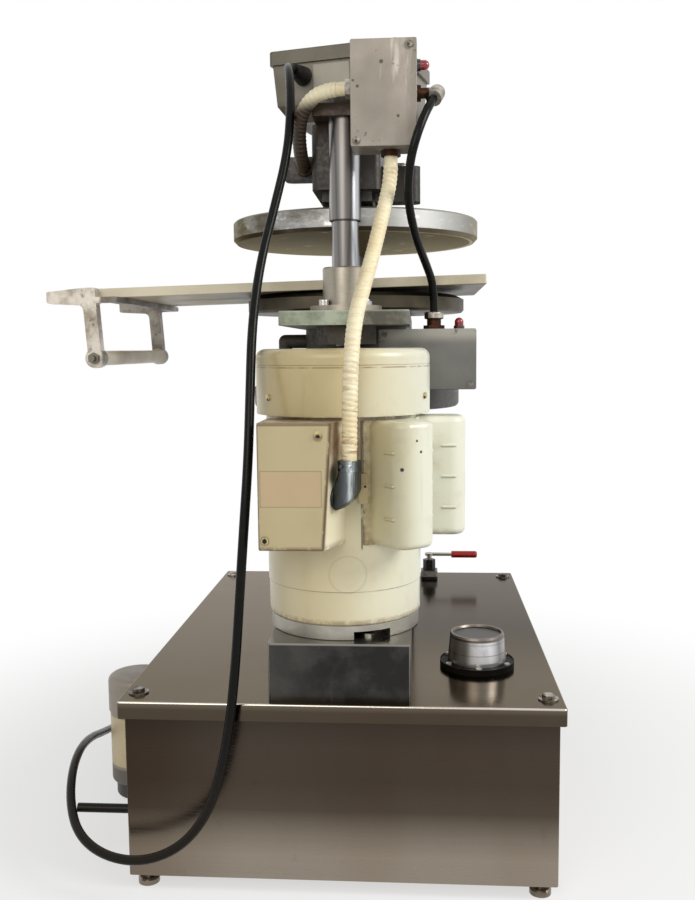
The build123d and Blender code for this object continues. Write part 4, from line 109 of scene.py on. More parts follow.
# Marks on the painted shells: the motor's joints and raised ring, chips and spots as place, radius and soft
# edge, and the bare patches on the conduit box's cover and on the control box
MOTOR_JOINT = 0.421
FAN_JOINT = 0.6585
FAN_BEAD = 0.7255
MOTOR_RING = (0.0127, -0.3662, 0.4454)
CAPACITOR_CHIPS = [
    ((0.1062, -0.3952, 0.6303), 0.0017, 0.0004), ((0.1114, -0.3910, 0.6155), 0.0019, 0.0004),
    ((0.0868, -0.4038, 0.5934), 0.0026, 0.0005), ((0.0352, -0.3644, 0.5682), 0.0030, 0.0005),
]
BOX_SPOTS = [
    ((0.058, -0.274, 1.142), 0.0028, 0.0006), ((0.025, -0.274, 1.110), 0.0022, 0.0006),
    ((0.081, -0.274, 1.069), 0.0022, 0.0006), ((0.019, -0.274, 1.118), 0.0018, 0.0006),
    ((0.057, -0.137, 0.770), 0.0030, 0.0006),
]
LABEL_SIDES = (-0.0955, -0.017)
LABEL_LEVELS = (0.548, 0.5935)
LABEL_RIM_SIDES = (-0.0967, -0.0158)
LABEL_RIM_LEVELS = (0.5468, 0.5947)
CONTROL_FOOT = (0, 0.02, 0)
CONTROL_TURN = -15
PLATE_SIDES = (-0.034, 0.026)
PLATE_LEVELS = (1.158, 1.2)

# Underside of the sliding board: its height at the press's axis and its slope
BOARD_UNDERSIDE = 0.8445
BOARD_SLOPE = 0.02374

# Axis of the press with its posts' distance and step, and axis of the breather on the lid with its groove
PLATEN_AXIS = (0.0, 0.06, 0.0)
POST_DISTANCE = 0.242
POST_STEP = 0.9395
BREATHER_AXIS = (0.196, -0.215, 0.0)
BREATHER_GROOVE = 0.2984

# Cords and conduits: diameters, the plug's blades, the conduits' ribs, and the points of each route
LINK_DIAMETER = 0.0124
CORD_DIAMETER = 0.013
HOSE_DIAMETER = 0.018
CONDUIT_DIAMETER = 0.021
CONDUIT_ROOT = 0.0192
CONDUIT_SIDES = 24
CONDUIT_PLAIN_END = 0.6 * CONDUIT_DIAMETER
PLUG_BLADE = 0.018
RIB_PITCH = 0.0068
RIB_STEPS = 8
RIB_FULLNESS = 0.6
LINK_ROUTE = [
    (0.1299, -0.2543, 1.0954), (0.1208, -0.2760, 1.0768), (0.106, -0.290, 1.038), (0.096, -0.282, 1.000),
    (0.094, -0.250, 0.955), (0.105, -0.205, 0.910), (0.120, -0.158, 0.878), (0.133, -0.1185, 0.846),
    (0.133, -0.1185, 0.806),
]
CORD_ROUTE = [
    (-0.0841, -0.1007, 1.183), (-0.0908, -0.1258, 1.183), (-0.081, -0.176, 1.158), (-0.075, -0.214, 1.098),
    (-0.078, -0.236, 1.030), (-0.095, -0.252, 0.955), (-0.113, -0.282, 0.872), (-0.119, -0.326, 0.784),
    (-0.117, -0.362, 0.694), (-0.117, -0.388, 0.604), (-0.122, -0.404, 0.514), (-0.128, -0.412, 0.424),
    (-0.134, -0.417, 0.338), (-0.142, -0.420, 0.262), (-0.154, -0.424, 0.194), (-0.174, -0.430, 0.132),
    (-0.210, -0.435, 0.088), (-0.262, -0.436, 0.066), (-0.318, -0.424, 0.066), (-0.366, -0.392, 0.078),
    (-0.396, -0.340, 0.098), (-0.416, -0.275, 0.118), (-0.428, -0.205, 0.124), (-0.436, -0.130, 0.112),
    (-0.441, -0.050, 0.088), (-0.447, 0.040, 0.064), (-0.460, 0.118, 0.044), (-0.457, 0.177, 0.0354),
    (-0.457, 0.237, 0.0354),
]
LONG_CONDUIT_ROUTE = [
    (0.070, -0.242, 1.020), (0.070, -0.242, 0.990), (0.060, -0.254, 0.9455), (0.046, -0.280, 0.8834),
    (0.034, -0.325, 0.8316), (0.026, -0.376, 0.7923), (0.022, -0.402, 0.7439), (0.020, -0.405, 0.6909),
    (0.0187, -0.4029, 0.636), (0.0187, -0.4029, 0.606),
]
SHORT_CONDUIT_ROUTE = [
    (0.006, -0.242, 1.115), (-0.024, -0.242, 1.115), (-0.052, -0.228, 1.099), (-0.067, -0.198, 1.073),
    (-0.067, -0.1591, 1.031), (-0.067, -0.1211, 1.031),
]
HOSE_ROUTE = [
    (-0.125, 0.060, 0.738), (-0.125, 0.060, 0.632), (-0.129, 0.060, 0.530), (-0.136, 0.060, 0.430),
    (-0.135, 0.060, 0.345), (-0.135, 0.060, 0.295),
]

# The put-away coil of the power cord, and the strap that ties it; points nearer the strap's middle than
# TIE_STILL stay there when its halves move apart
COIL_CENTRE = (-0.385, 0.250)
COIL_RADIUS = 0.072
COIL_TURNS = 2
COIL_STEP = 0.0144
COIL_FLOOR = 0.0066
COIL_POINTS = 16
COIL_TAIL_START = 0.014
COIL_TAIL_END = (-0.457, 0.292, 0.0066)
TIE_RADIUS = 0.0072
TIE_WIDTH = 0.005
TIE_THICKNESS = 0.0012
TIE_STILL = 0.0001
TIE_HEAD = (0.005, 0.0085, 0.008)
TIE_HEAD_OUT = 0.001
TIE_HEAD_SOFT = 0.001
TIE_TAIL = (0.02, 0.8 * TIE_WIDTH, 0.0014)
TIE_TAIL_OUT = 0.011
TIE_TAIL_SOFT = 0.0004


# Small helpers for selecting and shading
def deselect():
    for piece in bpy.context.selected_objects:
        piece.select_set(False)


def smooth(piece):
    deselect()
    piece.select_set(True)
    bpy.context.view_layer.objects.active = piece
    bpy.ops.object.shade_smooth_by_angle(angle=math.radians(SMOOTH_ANGLE))


def placed(name, data):
    """A new object in the scene."""
    made = bpy.data.objects.new(name, data)
    bpy.context.scene.collection.objects.link(made)
    return made


# Materials
def linear(share):
    """Light for a screen value of 0 to 1."""
    return share / 12.92 if share <= 0.04045 else ((share + 0.055) / 1.055) ** 2.4


def tint(colour):
    """A colour from three screen values of 0 to 255; a colour that nodes make stays as it is."""
    if isinstance(colour, bpy.types.NodeSocket):
        return colour
    return (*[linear(value / 255) for value in colour], 1.0)


class Nodes:
    """A node tree with short ways to add to it."""

    def __init__(self, tree):
        self.tree = tree

    def node(self, kind, sockets=None, **options):
        """A new node, with its settings as options and its sockets by name or number."""
        made = self.tree.nodes.new(kind)
        for key, value in options.items():
            setattr(made, key, value)
        for key, value in (sockets or {}).items():
            self.fill(made.inputs[key], value)
        return made

    def fill(self, socket, value):
        """Link a socket to what a node gives, or set it to a plain value."""
        if isinstance(value, bpy.types.NodeSocket):
            self.tree.links.new(value, socket)
        else:
            socket.default_value = value

    def maths(self, work, first, second=0.0):
        return self.node("ShaderNodeMath", {0: first, 1: second}, operation=work).outputs["Value"]

    def span(self, value, low, high, to_low=0.0, to_high=1.0):
        """A smooth step from one result to another as a value goes from low to high."""
        sockets = {"Value": value, "From Min": low, "From Max": high, "To Min": to_low, "To Max": to_high}
        return self.node("ShaderNodeMapRange", sockets, interpolation_type="SMOOTHSTEP").outputs["Result"]

    def end(self, kind, share, first, second):
        """Two shaders, mixed by a share, on an output."""
        mixed = self.node("ShaderNodeMixShader", {0: share, 1: first.outputs[0], 2: second.outputs[0]})
        self.node(kind, {0: mixed.outputs[0]})


class Skin(Nodes):
    """One material whose colour is laid on in layers, with short names for the patterns that it needs.

    A mask that is given as a tuple holds the terms of a span.
    """

    def __init__(self, name, **sockets):
        self.material = bpy.data.materials.new(name)
        self.material.use_nodes = True
        super().__init__(self.material.node_tree)
        self.shader = self.tree.nodes["Principled BSDF"]
        self.spot = self.node("ShaderNodeTexCoord").outputs["Object"]
        self.x, self.y, self.z = self.node("ShaderNodeSeparateXYZ", {"Vector": self.spot}).outputs
        self.colour = None
        for key, value in sockets.items():
            self.set(key.replace("_", " "), value)

    def set(self, key, value):
        """Fill a socket of the shader."""
        self.fill(self.shader.inputs[key], value)

    def noise(self, scale, stretch=None, detail=4.0, rough=0.55, warp=0.0):
        """A cloudy pattern; stretch is its scale along each axis."""
        sockets = {"Vector": self.spot, "Scale": scale, "Detail": detail, "Roughness": rough}
        sockets["Distortion"] = warp
        if stretch:
            mapping = self.node("ShaderNodeMapping", {"Vector": self.spot, "Scale": stretch})
            sockets["Vector"] = mapping.outputs["Vector"]
        return self.node("ShaderNodeTexNoise", sockets).outputs["Fac"]

    def cells(self, scale, feature="F1"):
        """Distance from the nearest of scattered points."""
        sockets = {"Scale": scale, "Vector": self.spot}
        return self.node("ShaderNodeTexVoronoi", sockets, feature=feature).outputs["Distance"]

    def mask(self, terms):
        """A mask as a value, also where it is given as terms."""
        return self.span(*terms) if isinstance(terms, tuple) else terms

    def both(self, *masks):
        """Masks multiplied together."""
        return reduce(partial(self.maths, "MULTIPLY"), map(self.mask, masks))

    def most(self, *masks):
        """The highest of some masks."""
        return reduce(partial(self.maths, "MAXIMUM"), map(self.mask, masks))

    def fall(self, value, low, high):
        """1 up to a low value, 0 from a high one."""
        return self.span(value, low, high, 1.0, 0.0)

    def band(self, value, low, high, soft):
        """1 between two values, with soft edges."""
        return self.both((value, low - soft, low + soft), self.fall(value, high - soft, high + soft))

    def patch(self, across, sides, levels, soft):
        """1 between two sides and two heights, with soft edges."""
        return self.both(self.band(across, *sides, soft), self.band(self.z, *levels, soft))

    def seam(self, level, width):
        """1 at a height, falling to 0 at a distance above and below."""
        off = self.maths("ABSOLUTE", self.maths("SUBTRACT", self.z, level))
        return self.fall(off, 0.0, width)

    def near(self, place, radius, soft):
        """1 within a radius of a place, with a soft edge."""
        made = self.node("ShaderNodeVectorMath", {0: self.spot, 1: place}, operation="DISTANCE")
        return self.fall(made.outputs["Value"], radius - soft, radius + soft)

    def seats(self, places, radius, soft):
        """1 within one radius of any of some places."""
        return self.most(*[self.near(place, radius, soft) for place in places])

    def local(self, place, turn=0.0):
        """X and Y of a frame at a place, turned about Z by a number of degrees."""
        sockets = {"Vector": self.spot, "Location": place, "Rotation": (0.0, 0.0, math.radians(turn))}
        moved = self.node("ShaderNodeMapping", sockets, vector_type="TEXTURE").outputs["Vector"]
        return self.node("ShaderNodeSeparateXYZ", {"Vector": moved}).outputs[:2]

    def reach(self, axis):
        """Distance from an upright axis."""
        across, deep = self.local(axis)
        return self.maths("SQRT", self.maths("ADD", self.both(across, across), self.both(deep, deep)))

    def around(self, across, deep):
        """The angle of a direction as a share of a full turn."""
        angle = self.maths("ARCTAN2", across, deep)
        return self.maths("ADD", self.maths("DIVIDE", angle, 2 * math.pi), 0.5)

    def mix(self, share, under, over, blend="MIX"):
        """Two colours mixed; inputs 6 and 7 and output 2 are the colour ones."""
        sockets = {0: self.mask(share), 6: tint(under), 7: tint(over)}
        return self.node("ShaderNodeMix", sockets, data_type="RGBA", blend_type=blend).outputs[2]

    def pair(self, value, first, second, low=0.35, high=0.65):
        """One colour up to a low value, another from a high one."""
        return self.mix((value, low, high), first, second)

    def start(self, *terms):
        """Start with a pair of colours."""
        self.colour = self.pair(*terms)

    def ramp(self, value, stops):
        """Start with colours at stops along a value."""
        made = self.node("ShaderNodeValToRGB", {"Fac": value})
        marks = made.color_ramp.elements
        while len(marks) < len(stops):
            marks.new(0.5)
        for mark, (place, colour) in zip(marks, stops):
            mark.position = place
            mark.color = tint(colour)
        self.colour = made.outputs["Color"]

    def over(self, share, shade, strength=None, blend="MIX"):
        """Lay a shade over the colour so far."""
        if strength is not None:
            share = self.both(share, strength)
        self.colour = self.mix(share, self.colour, shade, blend)

    def dirt_and_shade(self, mask, shade, strength=0.8, ragged=(0.34, 0.6), size=55.0):
        """Patchy colour where a mask is set, broken up by a ragged pattern: dirt, and painted shade in the
        gap beside the left capacitor cover.
        """
        patchy = self.span(self.noise(size, detail=5.0, rough=0.65), *ragged)
        self.over(self.both(mask, patchy), shade, strength)

    def done(self, pattern=None, first=None, second=None, low=0.3, high=0.7, bump=None):
        """The material: its roughness goes from one value to another as a pattern rises from low to high.

        bump is a height, its strength and its depth.
        """
        self.set("Base Color", self.colour)
        if pattern is not None:
            self.set("Roughness", self.span(pattern, low, high, first, second))
        if bump:
            sockets = dict(zip(("Height", "Strength", "Distance"), bump))
            self.set("Normal", self.node("ShaderNodeBump", sockets).outputs["Normal"])
        return self.material


def stainless(name, painted_light_by_height, grain, roughness, sideways, deep, painted_side_shade):
    """Brushed sheet; the colours by height, run up from the floor as (height, colour), are painted reflection
    and shade; grain is the brushing's stretch.

    The tone multiplied in between two X values, sideways, and two Y values, deep, is painted shade.
    """
    skin = Skin(name, Metallic=1, Specular_Tint=tint((236, 231, 224)))
    low = painted_light_by_height[0][0]
    rise = painted_light_by_height[-1][0] - low
    up = skin.maths("DIVIDE", skin.maths("SUBTRACT", skin.z, low), rise)
    # Painted reflection and shade by height
    skin.ramp(up, [((height - low) / rise, shade) for height, shade in painted_light_by_height])
    smear = skin.noise(5, (1, 1, 0.35), detail=3)
    skin.over((smear, 0.35, 0.7, 0, 0.3), (150, 140, 128), blend="SOFT_LIGHT")
    # Painted shade on one side of the sheet
    skin.over(skin.both((skin.x, *sideways), (skin.y, *deep)), painted_side_shade, blend="MULTIPLY")
    # Painted highlight along the lid's front fold
    painted_fold_highlight = skin.both(skin.fall(skin.y, -0.3935, -0.3915), (skin.z, 0.2701, 0.2721))
    skin.over(painted_fold_highlight, (226, 218, 206), 0.8)
    lines = skin.noise(1, grain, detail=3, rough=0.7)
    skin.over((lines, 0.3, 0.75, 0, 0.2), (205, 198, 188), blend="OVERLAY")
    skin.over((skin.noise(38, detail=5), 0.62, 0.8, 0, 0.15), (46, 40, 34))
    return skin.done(lines, roughness - 0.06, roughness + 0.08, 0.2, 0.8, bump=(lines, 0.05, 0.0004))


def riser_steel():
    """Dark sheet of the motor's stand: smudged faces, painted highlights along the bends at its top and
    uprights.
    """
    skin = Skin("riser_steel", Metallic=1)
    smudge = skin.noise(22, detail=6, rough=0.65)
    skin.start(smudge, (46, 45, 44), (66, 64, 62), 0.4, 0.68)
    streak = skin.noise(9, (3, 3, 0.6))
    skin.over((streak, 0.56, 0.74, 0, 0.4), (92, 90, 86))
    skin.over((skin.x, -0.09, -0.01, 0.35, 0), (88, 86, 82))
    # Painted highlight along the bends at the top and the uprights
    side = skin.maths("ABSOLUTE", skin.x)
    edge = skin.most((side, 0.0945, 0.0962), (skin.z, 0.3495, 0.3512))
    skin.over(edge, (158, 154, 146), 0.7)
    return skin.done(smudge, 0.26, 0.42)


def cream_skin(name, coat, coat_roughness):
    """Old gloss paint: painted shade, darker and yellower, on the side that faces the rear and left, painted
    light, whiter, to the right.
    """
    skin = Skin(name, Coat_Weight=coat, Coat_Roughness=coat_roughness)
    across = skin.maths("ADD", skin.x, skin.both(skin.noise(7, detail=3), 0.06))
    # Painted shade to the left and painted light to the right, across the motor
    skin.start(across, (212, 196, 148), (236, 237, 219), 0, 0.15)
    # More painted shade towards the left edge
    skin.over((across, -0.09, -0.03, 0.4, 0), (178, 160, 112))
    cloud = skin.noise(15, detail=6, rough=0.65)
    skin.over((cloud, 0.5, 0.75, 0, 0.35), (186, 164, 112))
    runs = skin.noise(30, (1, 1, 0.12), detail=3)
    skin.over((runs, 0.62, 0.8, 0, 0.25), (160, 132, 86))
    return skin


def glossed(skin, scars=None):
    """A painted skin's material: its gloss, fine orange peel, and hollows where the paint is gone."""
    peel = skin.both(skin.noise(380, detail=2), 0.1)
    if scars is not None:
        peel = skin.maths("SUBTRACT", peel, scars)
    return skin.done(skin.noise(24), 0.28, 0.46, 0.3, 0.8, bump=(peel, 0.25, 0.0008))


def motor_paint():
    """Frame, lower end and fan cover, with dirt in the joints, dirt and painted shade beside the left
    capacitor cover, and a raised ring on the frame with faint painted shade.
    """
    skin = cream_skin("motor_cream", 0.3, 0.2)
    skin.over((skin.z, 0.47, 0.56, 0.35, 0), (240, 234, 208))
    skin.over((skin.z, 0.655, 0.66, 0, 0.16), (176, 158, 112))
    skin.dirt_and_shade(skin.seam(MOTOR_JOINT, 0.0009), (92, 80, 58), 0.75, (0.3, 0.5), 9)
    skin.dirt_and_shade(skin.seam(FAN_BEAD, 0.0016), (132, 98, 58), 0.8, (0.36, 0.56), 40)
    skin.dirt_and_shade(skin.band(skin.z, 0.634, 0.6575, 0.009), (112, 76, 42), 0.6)
    skin.dirt_and_shade(skin.band(skin.z, 0.3735, 0.381, 0.003), (128, 100, 62), 0.6)
    skin.dirt_and_shade(skin.seam(FAN_JOINT, 0.003), (120, 86, 50), 0.7)
    beside_conduit = skin.both(
        skin.band(skin.x, -0.004, 0.034, 0.008),
        skin.band(skin.z, 0.575, 0.652, 0.015),
        skin.fall(skin.y, -0.33, -0.3),
    )
    skin.dirt_and_shade(beside_conduit, (132, 92, 54), 0.75, (0.28, 0.62), 34)
    out, across = skin.local(MOTOR_FOOT, CAPACITOR_TURNS[0])
    # Dirt and painted shade in the gap beside the left capacitor cover
    cover_gap = skin.both(
        skin.band(across, -0.0432, -0.0412, 0.0008),
        skin.band(skin.z, 0.48, 0.655, 0.003),
        (out, 0.04, 0.06),
    )
    skin.dirt_and_shade(cover_gap, (58, 42, 28), 0.9, (0.25, 0.45), 70)
    outside = skin.maths("SUBTRACT", 1, skin.near(MOTOR_RING, 0.0245, 0.001))
    ring = skin.both(skin.near(MOTOR_RING, 0.0265, 0.001), outside)
    # Faint painted shade along the raised ring
    skin.over(ring, (168, 150, 104), 0.25)
    return glossed(skin, skin.both(ring, -0.5))


def conduit_cover_paint():
    """The conduit box's face, darker with painted shade: a bare label patch, worn edges and dirt round it."""
    skin = cream_skin("conduit_cover_cream", 0.2, 0.3)
    # Painted shade: the whole face darker than the box's sides
    skin.over(0.45, (176, 164, 134))
    label = skin.patch(skin.x, LABEL_SIDES, LABEL_LEVELS, 0.0006)
    rim = skin.maths("SUBTRACT", skin.patch(skin.x, LABEL_RIM_SIDES, LABEL_RIM_LEVELS, 0.0006), label)
    fibres = skin.noise(30, (1, 1, 0.4), detail=5)
    skin.over(label, skin.mix(fibres, (206, 184, 150), (192, 164, 128)), 0.85)
    skin.over(rim, (120, 92, 58), 0.5)
    lean = skin.both(skin.maths("SUBTRACT", skin.z, 0.653), 0.0675)
    side = skin.maths("SUBTRACT", skin.x, lean)
    edges = skin.most(
        skin.fall(skin.z, 0.4905, 0.497),
        skin.fall(skin.x, -0.0995, -0.0965),
        (side, -0.0085, -0.0045),
    )
    skin.dirt_and_shade(edges, (96, 66, 38), 0.9, (0.3, 0.5))
    border = skin.most(
        skin.fall(skin.z, 0.4905, 0.492),
        (skin.z, 0.6515, 0.653),
        skin.fall(skin.x, -0.0995, -0.098),
        (side, -0.0055, -0.004),
    )
    skin.over(border, (84, 62, 38), 0.7)
    skin.over(skin.seats(COVER_SCREWS, 0.0062, 0.0014), (112, 88, 56), 0.6)
    return glossed(skin)


def conduit_box_paint():
    """The conduit box's sides, whiter with painted light, with brown stains beside the elbow and conduit, and
    dirt and painted shade between the elbow and the wall.
    """
    skin = cream_skin("conduit_box_cream", 0.2, 0.3)
    # Painted light: the sides whiter than the box's face
    skin.over(0.75, (252, 246, 218))
    skin.dirt_and_shade((skin.z, 0.575, 0.625), (116, 78, 46), 0.8, (0.24, 0.56), 26)
    # Dirt and painted shade in the corner between the elbow and the wall
    skin.over(skin.near((-0.003, -0.406, 0.588), 0.013, 0.007), (44, 34, 25), 0.85)
    skin.dirt_and_shade(skin.fall(skin.y, -0.421, -0.416), (104, 70, 42), 0.85, (0.3, 0.5))
    skin.dirt_and_shade(skin.fall(skin.z, 0.49, 0.5), (128, 92, 54), 0.6)
    return glossed(skin)


def capacitor_paint():
    """Capacitor covers: chips, dirt at the flange, a painted shadow line under each pressed ridge and painted
    shade on the left cover's left side.
    """
    skin = cream_skin("capacitor_cream", 0.4, 0.15)
    # Painted shadow: a dark line under each pressed ridge
    shadow_lines = []
    for turn in CAPACITOR_TURNS:
        out, across = skin.local(MOTOR_FOOT, turn)
        away = skin.maths("ABSOLUTE", across)
        place = skin.both(skin.band(out, 0.1405, 0.1615, 0.0015), skin.band(away, 0.026, 0.036, 0.002))
        for level in RIDGE_LEVELS:
            shadow_lines.append(skin.both(place, skin.seam(level - 0.0024, 0.0018)))
    ridge_shadow = skin.most(*shadow_lines)
    skin.over(ridge_shadow, (104, 92, 66), 0.5)
    out, across = skin.local(MOTOR_FOOT, CAPACITOR_TURNS[0])
    # Painted shade on the left side of the left cover
    skin.over((across, -0.034, 0.012, 0.6, 0), (178, 166, 122))
    skin.dirt_and_shade(skin.fall(across, -0.0408, -0.0375), (84, 62, 40), 0.7, (0.42, 0.6), 60)
    root = skin.both(skin.band(across, -0.0395, -0.0325, 0.002), skin.fall(out, 0.104, 0.125))
    skin.dirt_and_shade(root, (150, 122, 76), 0.6)
    foot = skin.both(skin.fall(skin.z, 0.486, 0.5), skin.fall(out, 0.11, 0.15))
    skin.dirt_and_shade(foot, (120, 90, 54), 0.6)
    chips = skin.most(*[skin.near(*chip) for chip in CAPACITOR_CHIPS])
    skin.over(chips, (30, 26, 22))
    return glossed(skin, skin.both(skin.most(ridge_shadow, chips), 0.9))


def post_chrome():
    """Bright round bar: painted reflections, light and dark bands round each post as in a studio, and a dark
    line at the step.
    """
    skin = Skin("post_chrome", Metallic=1, Roughness=0.3)
    away = skin.maths("ABSOLUTE", skin.maths("SUBTRACT", skin.y, PLATEN_AXIS[1]))
    beyond = skin.maths("SUBTRACT", away, POST_DISTANCE)
    # Painted reflections: light and dark bands by the angle round each post
    skin.ramp(skin.around(skin.x, beyond), [
        (0, (120, 116, 112)), (0.2, (196, 194, 192)), (0.29, (104, 100, 98)), (0.33, (176, 175, 174)),
        (0.37, (130, 127, 125)), (0.46, (118, 115, 113)), (0.53, (112, 108, 106)), (0.575, (96, 92, 90)),
        (0.61, (164, 166, 170)), (0.66, (188, 190, 193)), (0.7, (104, 101, 99)), (0.78, (78, 74, 70)),
        (0.9, (176, 174, 172)), (1, (120, 116, 112)),
    ])
    lines = skin.noise(1, (300, 300, 4), detail=2)
    skin.over((lines, 0.35, 0.7, 0, 0.1), (70, 66, 62))
    skin.over(skin.seam(POST_STEP, 0.002), (44, 40, 38), 0.8)
    skin.over((skin.z, 1.03, 1.09), (70, 58, 48), 0.3)
    return skin.done()


def machined(name, colour, dark, grain, roughness, worn):
    """Bare metal with tool marks, duller patches and a few bright scratches."""
    skin = Skin(name, Metallic=1)
    patches = skin.noise(14, detail=5, rough=0.6)
    skin.colour = skin.mix((patches, 0.4, 0.72, 0, worn), colour, dark)
    lines = skin.noise(1, grain, detail=2, rough=0.6)
    skin.over((lines, 0.3, 0.75, 0, 0.3), (215, 212, 204), blend="OVERLAY")
    return skin.done(patches, roughness, roughness + 0.18, 0.3, 0.75, bump=(lines, 0.1, 0.0005))


def platen_metal():
    """The heated plate: a rim worn bright in patches, painted shade on its left and right end, painted light
    on its right, painted shade on the bevel, and a baked underside with a painted highlight on a ring at its
    lip.
    """
    skin = Skin("platen_metal", Metallic=0.85, Specular_Tint=tint((243, 236, 209)))
    patches = skin.noise(17, (1, 1, 2.2), detail=6, rough=0.7)
    # Painted shade on the left of the rim and painted light on its right
    skin.start(skin.x, (80, 72, 57), (166, 166, 163), -0.2, 0.16)
    bare = skin.both((skin.x, -0.2, 0.02, 0.55, 1), (patches, 0.36, 0.62))
    skin.over(bare, (168, 168, 166))
    worn = skin.noise(34, (1, 1, 1.6), detail=5, rough=0.7)
    worn = skin.both((worn, 0.5, 0.62), (patches, 0.5, 0.62))
    skin.over(worn, (206, 204, 200), 0.8)
    # Painted shade at the rim's right end
    skin.over((skin.x, 0.16, 0.205, 0, 0.5), (112, 105, 99))
    # Painted shade on the bevel under the rim
    bevel_painted_shade = skin.pair(skin.x, (62, 51, 36), (104, 94, 80), 0, 0.16)
    skin.over(skin.band(skin.z, 0.9306, 0.9364, 0.0006), bevel_painted_shade, 0.9)
    dusty = skin.pair(patches, (150, 146, 138), (122, 117, 108))
    skin.over((skin.z, 0.9635, 0.9655), dusty)
    below = skin.fall(skin.z, 0.9302, 0.931)
    skin.over(below, skin.mix(skin.noise(26, detail=5), (118, 102, 60), (84, 70, 38)))
    # Painted highlight on a ring at the underside's lip, on the lit side
    ring = skin.both(
        skin.band(skin.reach(PLATEN_AXIS), 0.197, 0.2024, 0.0008),
        below,
        (skin.x, -0.06, 0.06, 0, 0.85),
    )
    skin.over(ring, (218, 212, 194))
    return skin.done(worn, 0.48, 0.3, 0, 1, bump=(skin.noise(240, detail=3), 0.12, 0.0006))


def casting(name, colour, dark, light, roughness, metallic=0):
    """A painted or raw casting with a sandy skin."""
    skin = Skin(name, Metallic=metallic)
    sand = skin.noise(190)
    tone = skin.noise(7)
    skin.start(tone, colour, dark, 0.35, 0.7)
    worn = skin.both(skin.noise(46, detail=6, rough=0.7), tone)
    skin.over((worn, 0.3, 0.42, 0, 0.6), light)
    return skin.done(sand, roughness - 0.1, roughness + 0.12, bump=(sand, 0.3, 0.0012))


def handle_casting():
    """The handle's bare casting: pale, with grey blotches and rubbed bright spots, painted shade on its far
    side and under the board.
    """
    skin = Skin("cast_handle", Metallic=0.3)
    tone = skin.noise(22, detail=5, rough=0.65)
    skin.start(tone, (222, 214, 202), (156, 145, 130), 0.4, 0.66)
    blotch = skin.noise(58, detail=5, rough=0.7, warp=0.6)
    skin.over((blotch, 0.58, 0.68, 0, 0.7), (104, 95, 84))
    skin.over((blotch, 0.3, 0.4, 0.6, 0), (240, 236, 228))
    # Painted shade on the far leg and on the bar under the board
    far = skin.span(skin.y, -0.112, -0.04, 0, 0.6)
    shade_under_board = skin.span(skin.x, -0.394, -0.389, 0, 0.75)
    skin.over(skin.most(far, shade_under_board), (62, 55, 47))
    return skin.done(tone, 0.34, 0.52, bump=(skin.noise(180), 0.3, 0.001))


def elbow_zinc():
    """The conduit's die-cast elbow: dark with painted shade on its inner side, painted highlight streaks
    along its outer side.
    """
    skin = Skin("elbow_zinc", Metallic=0.8)
    streak = skin.noise(1, (240, 240, 36), rough=0.6)
    wander = skin.both(skin.maths("SUBTRACT", streak, 0.5), 0.35)
    # Painted shade to the left and painted highlight streaks to the right, across the elbow
    skin.ramp(skin.maths("ADD", skin.span(skin.x, -0.01, 0.034), wander), [
        (0, (40, 41, 39)), (0.4, (72, 76, 77)), (0.6, (96, 101, 103)), (0.78, (196, 203, 205)),
        (0.9, (104, 109, 110)), (1, (64, 67, 67)),
    ])
    return skin.done(streak, 0.3, 0.44, bump=(skin.noise(200, detail=3), 0.2, 0.0008))


def head_iron():
    """The head: grey casting below, brown under the control box with baked grease and painted shade."""
    skin = Skin("head_iron", Metallic=0.3)
    sand = skin.noise(170)
    tone = skin.noise(16, detail=5)
    skin.start(tone, (60, 56, 52), (41, 37, 34), 0.35, 0.7)
    worn = skin.noise(60, detail=6, rough=0.7)
    skin.over((worn, 0.58, 0.7, 0, 0.6), (124, 121, 116))
    # Brown near the top, under the control box: grease and painted shade
    drips = skin.both(skin.noise(40, (1, 1, 0.2)), 0.05)
    skin.over((skin.maths("ADD", skin.z, drips), 1.075, 1.115), (58, 44, 30))
    return skin.done(sand, 0.38, 0.6, bump=(sand, 0.3, 0.0012))


def bed_paint():
    """The bed: pale green paint left of the post, bare and grimy to its right."""
    skin = Skin("bed_paint", Metallic=0.1)
    tone = skin.noise(30, detail=6, rough=0.7)
    skin.start(tone, (174, 184, 165), (136, 146, 128))
    bare = skin.pair(tone, (88, 85, 76), (128, 126, 116), 0.4, 0.65)
    side = skin.maths("ADD", skin.x, skin.both(tone, 0.03))
    skin.over((side, 0.012, 0.05), bare)
    skin.over((skin.z, 0.8025, 0.806), (206, 212, 200), 0.5)
    return skin.done(tone, 0.4, 0.6, bump=(tone, 0.15, 0.001))


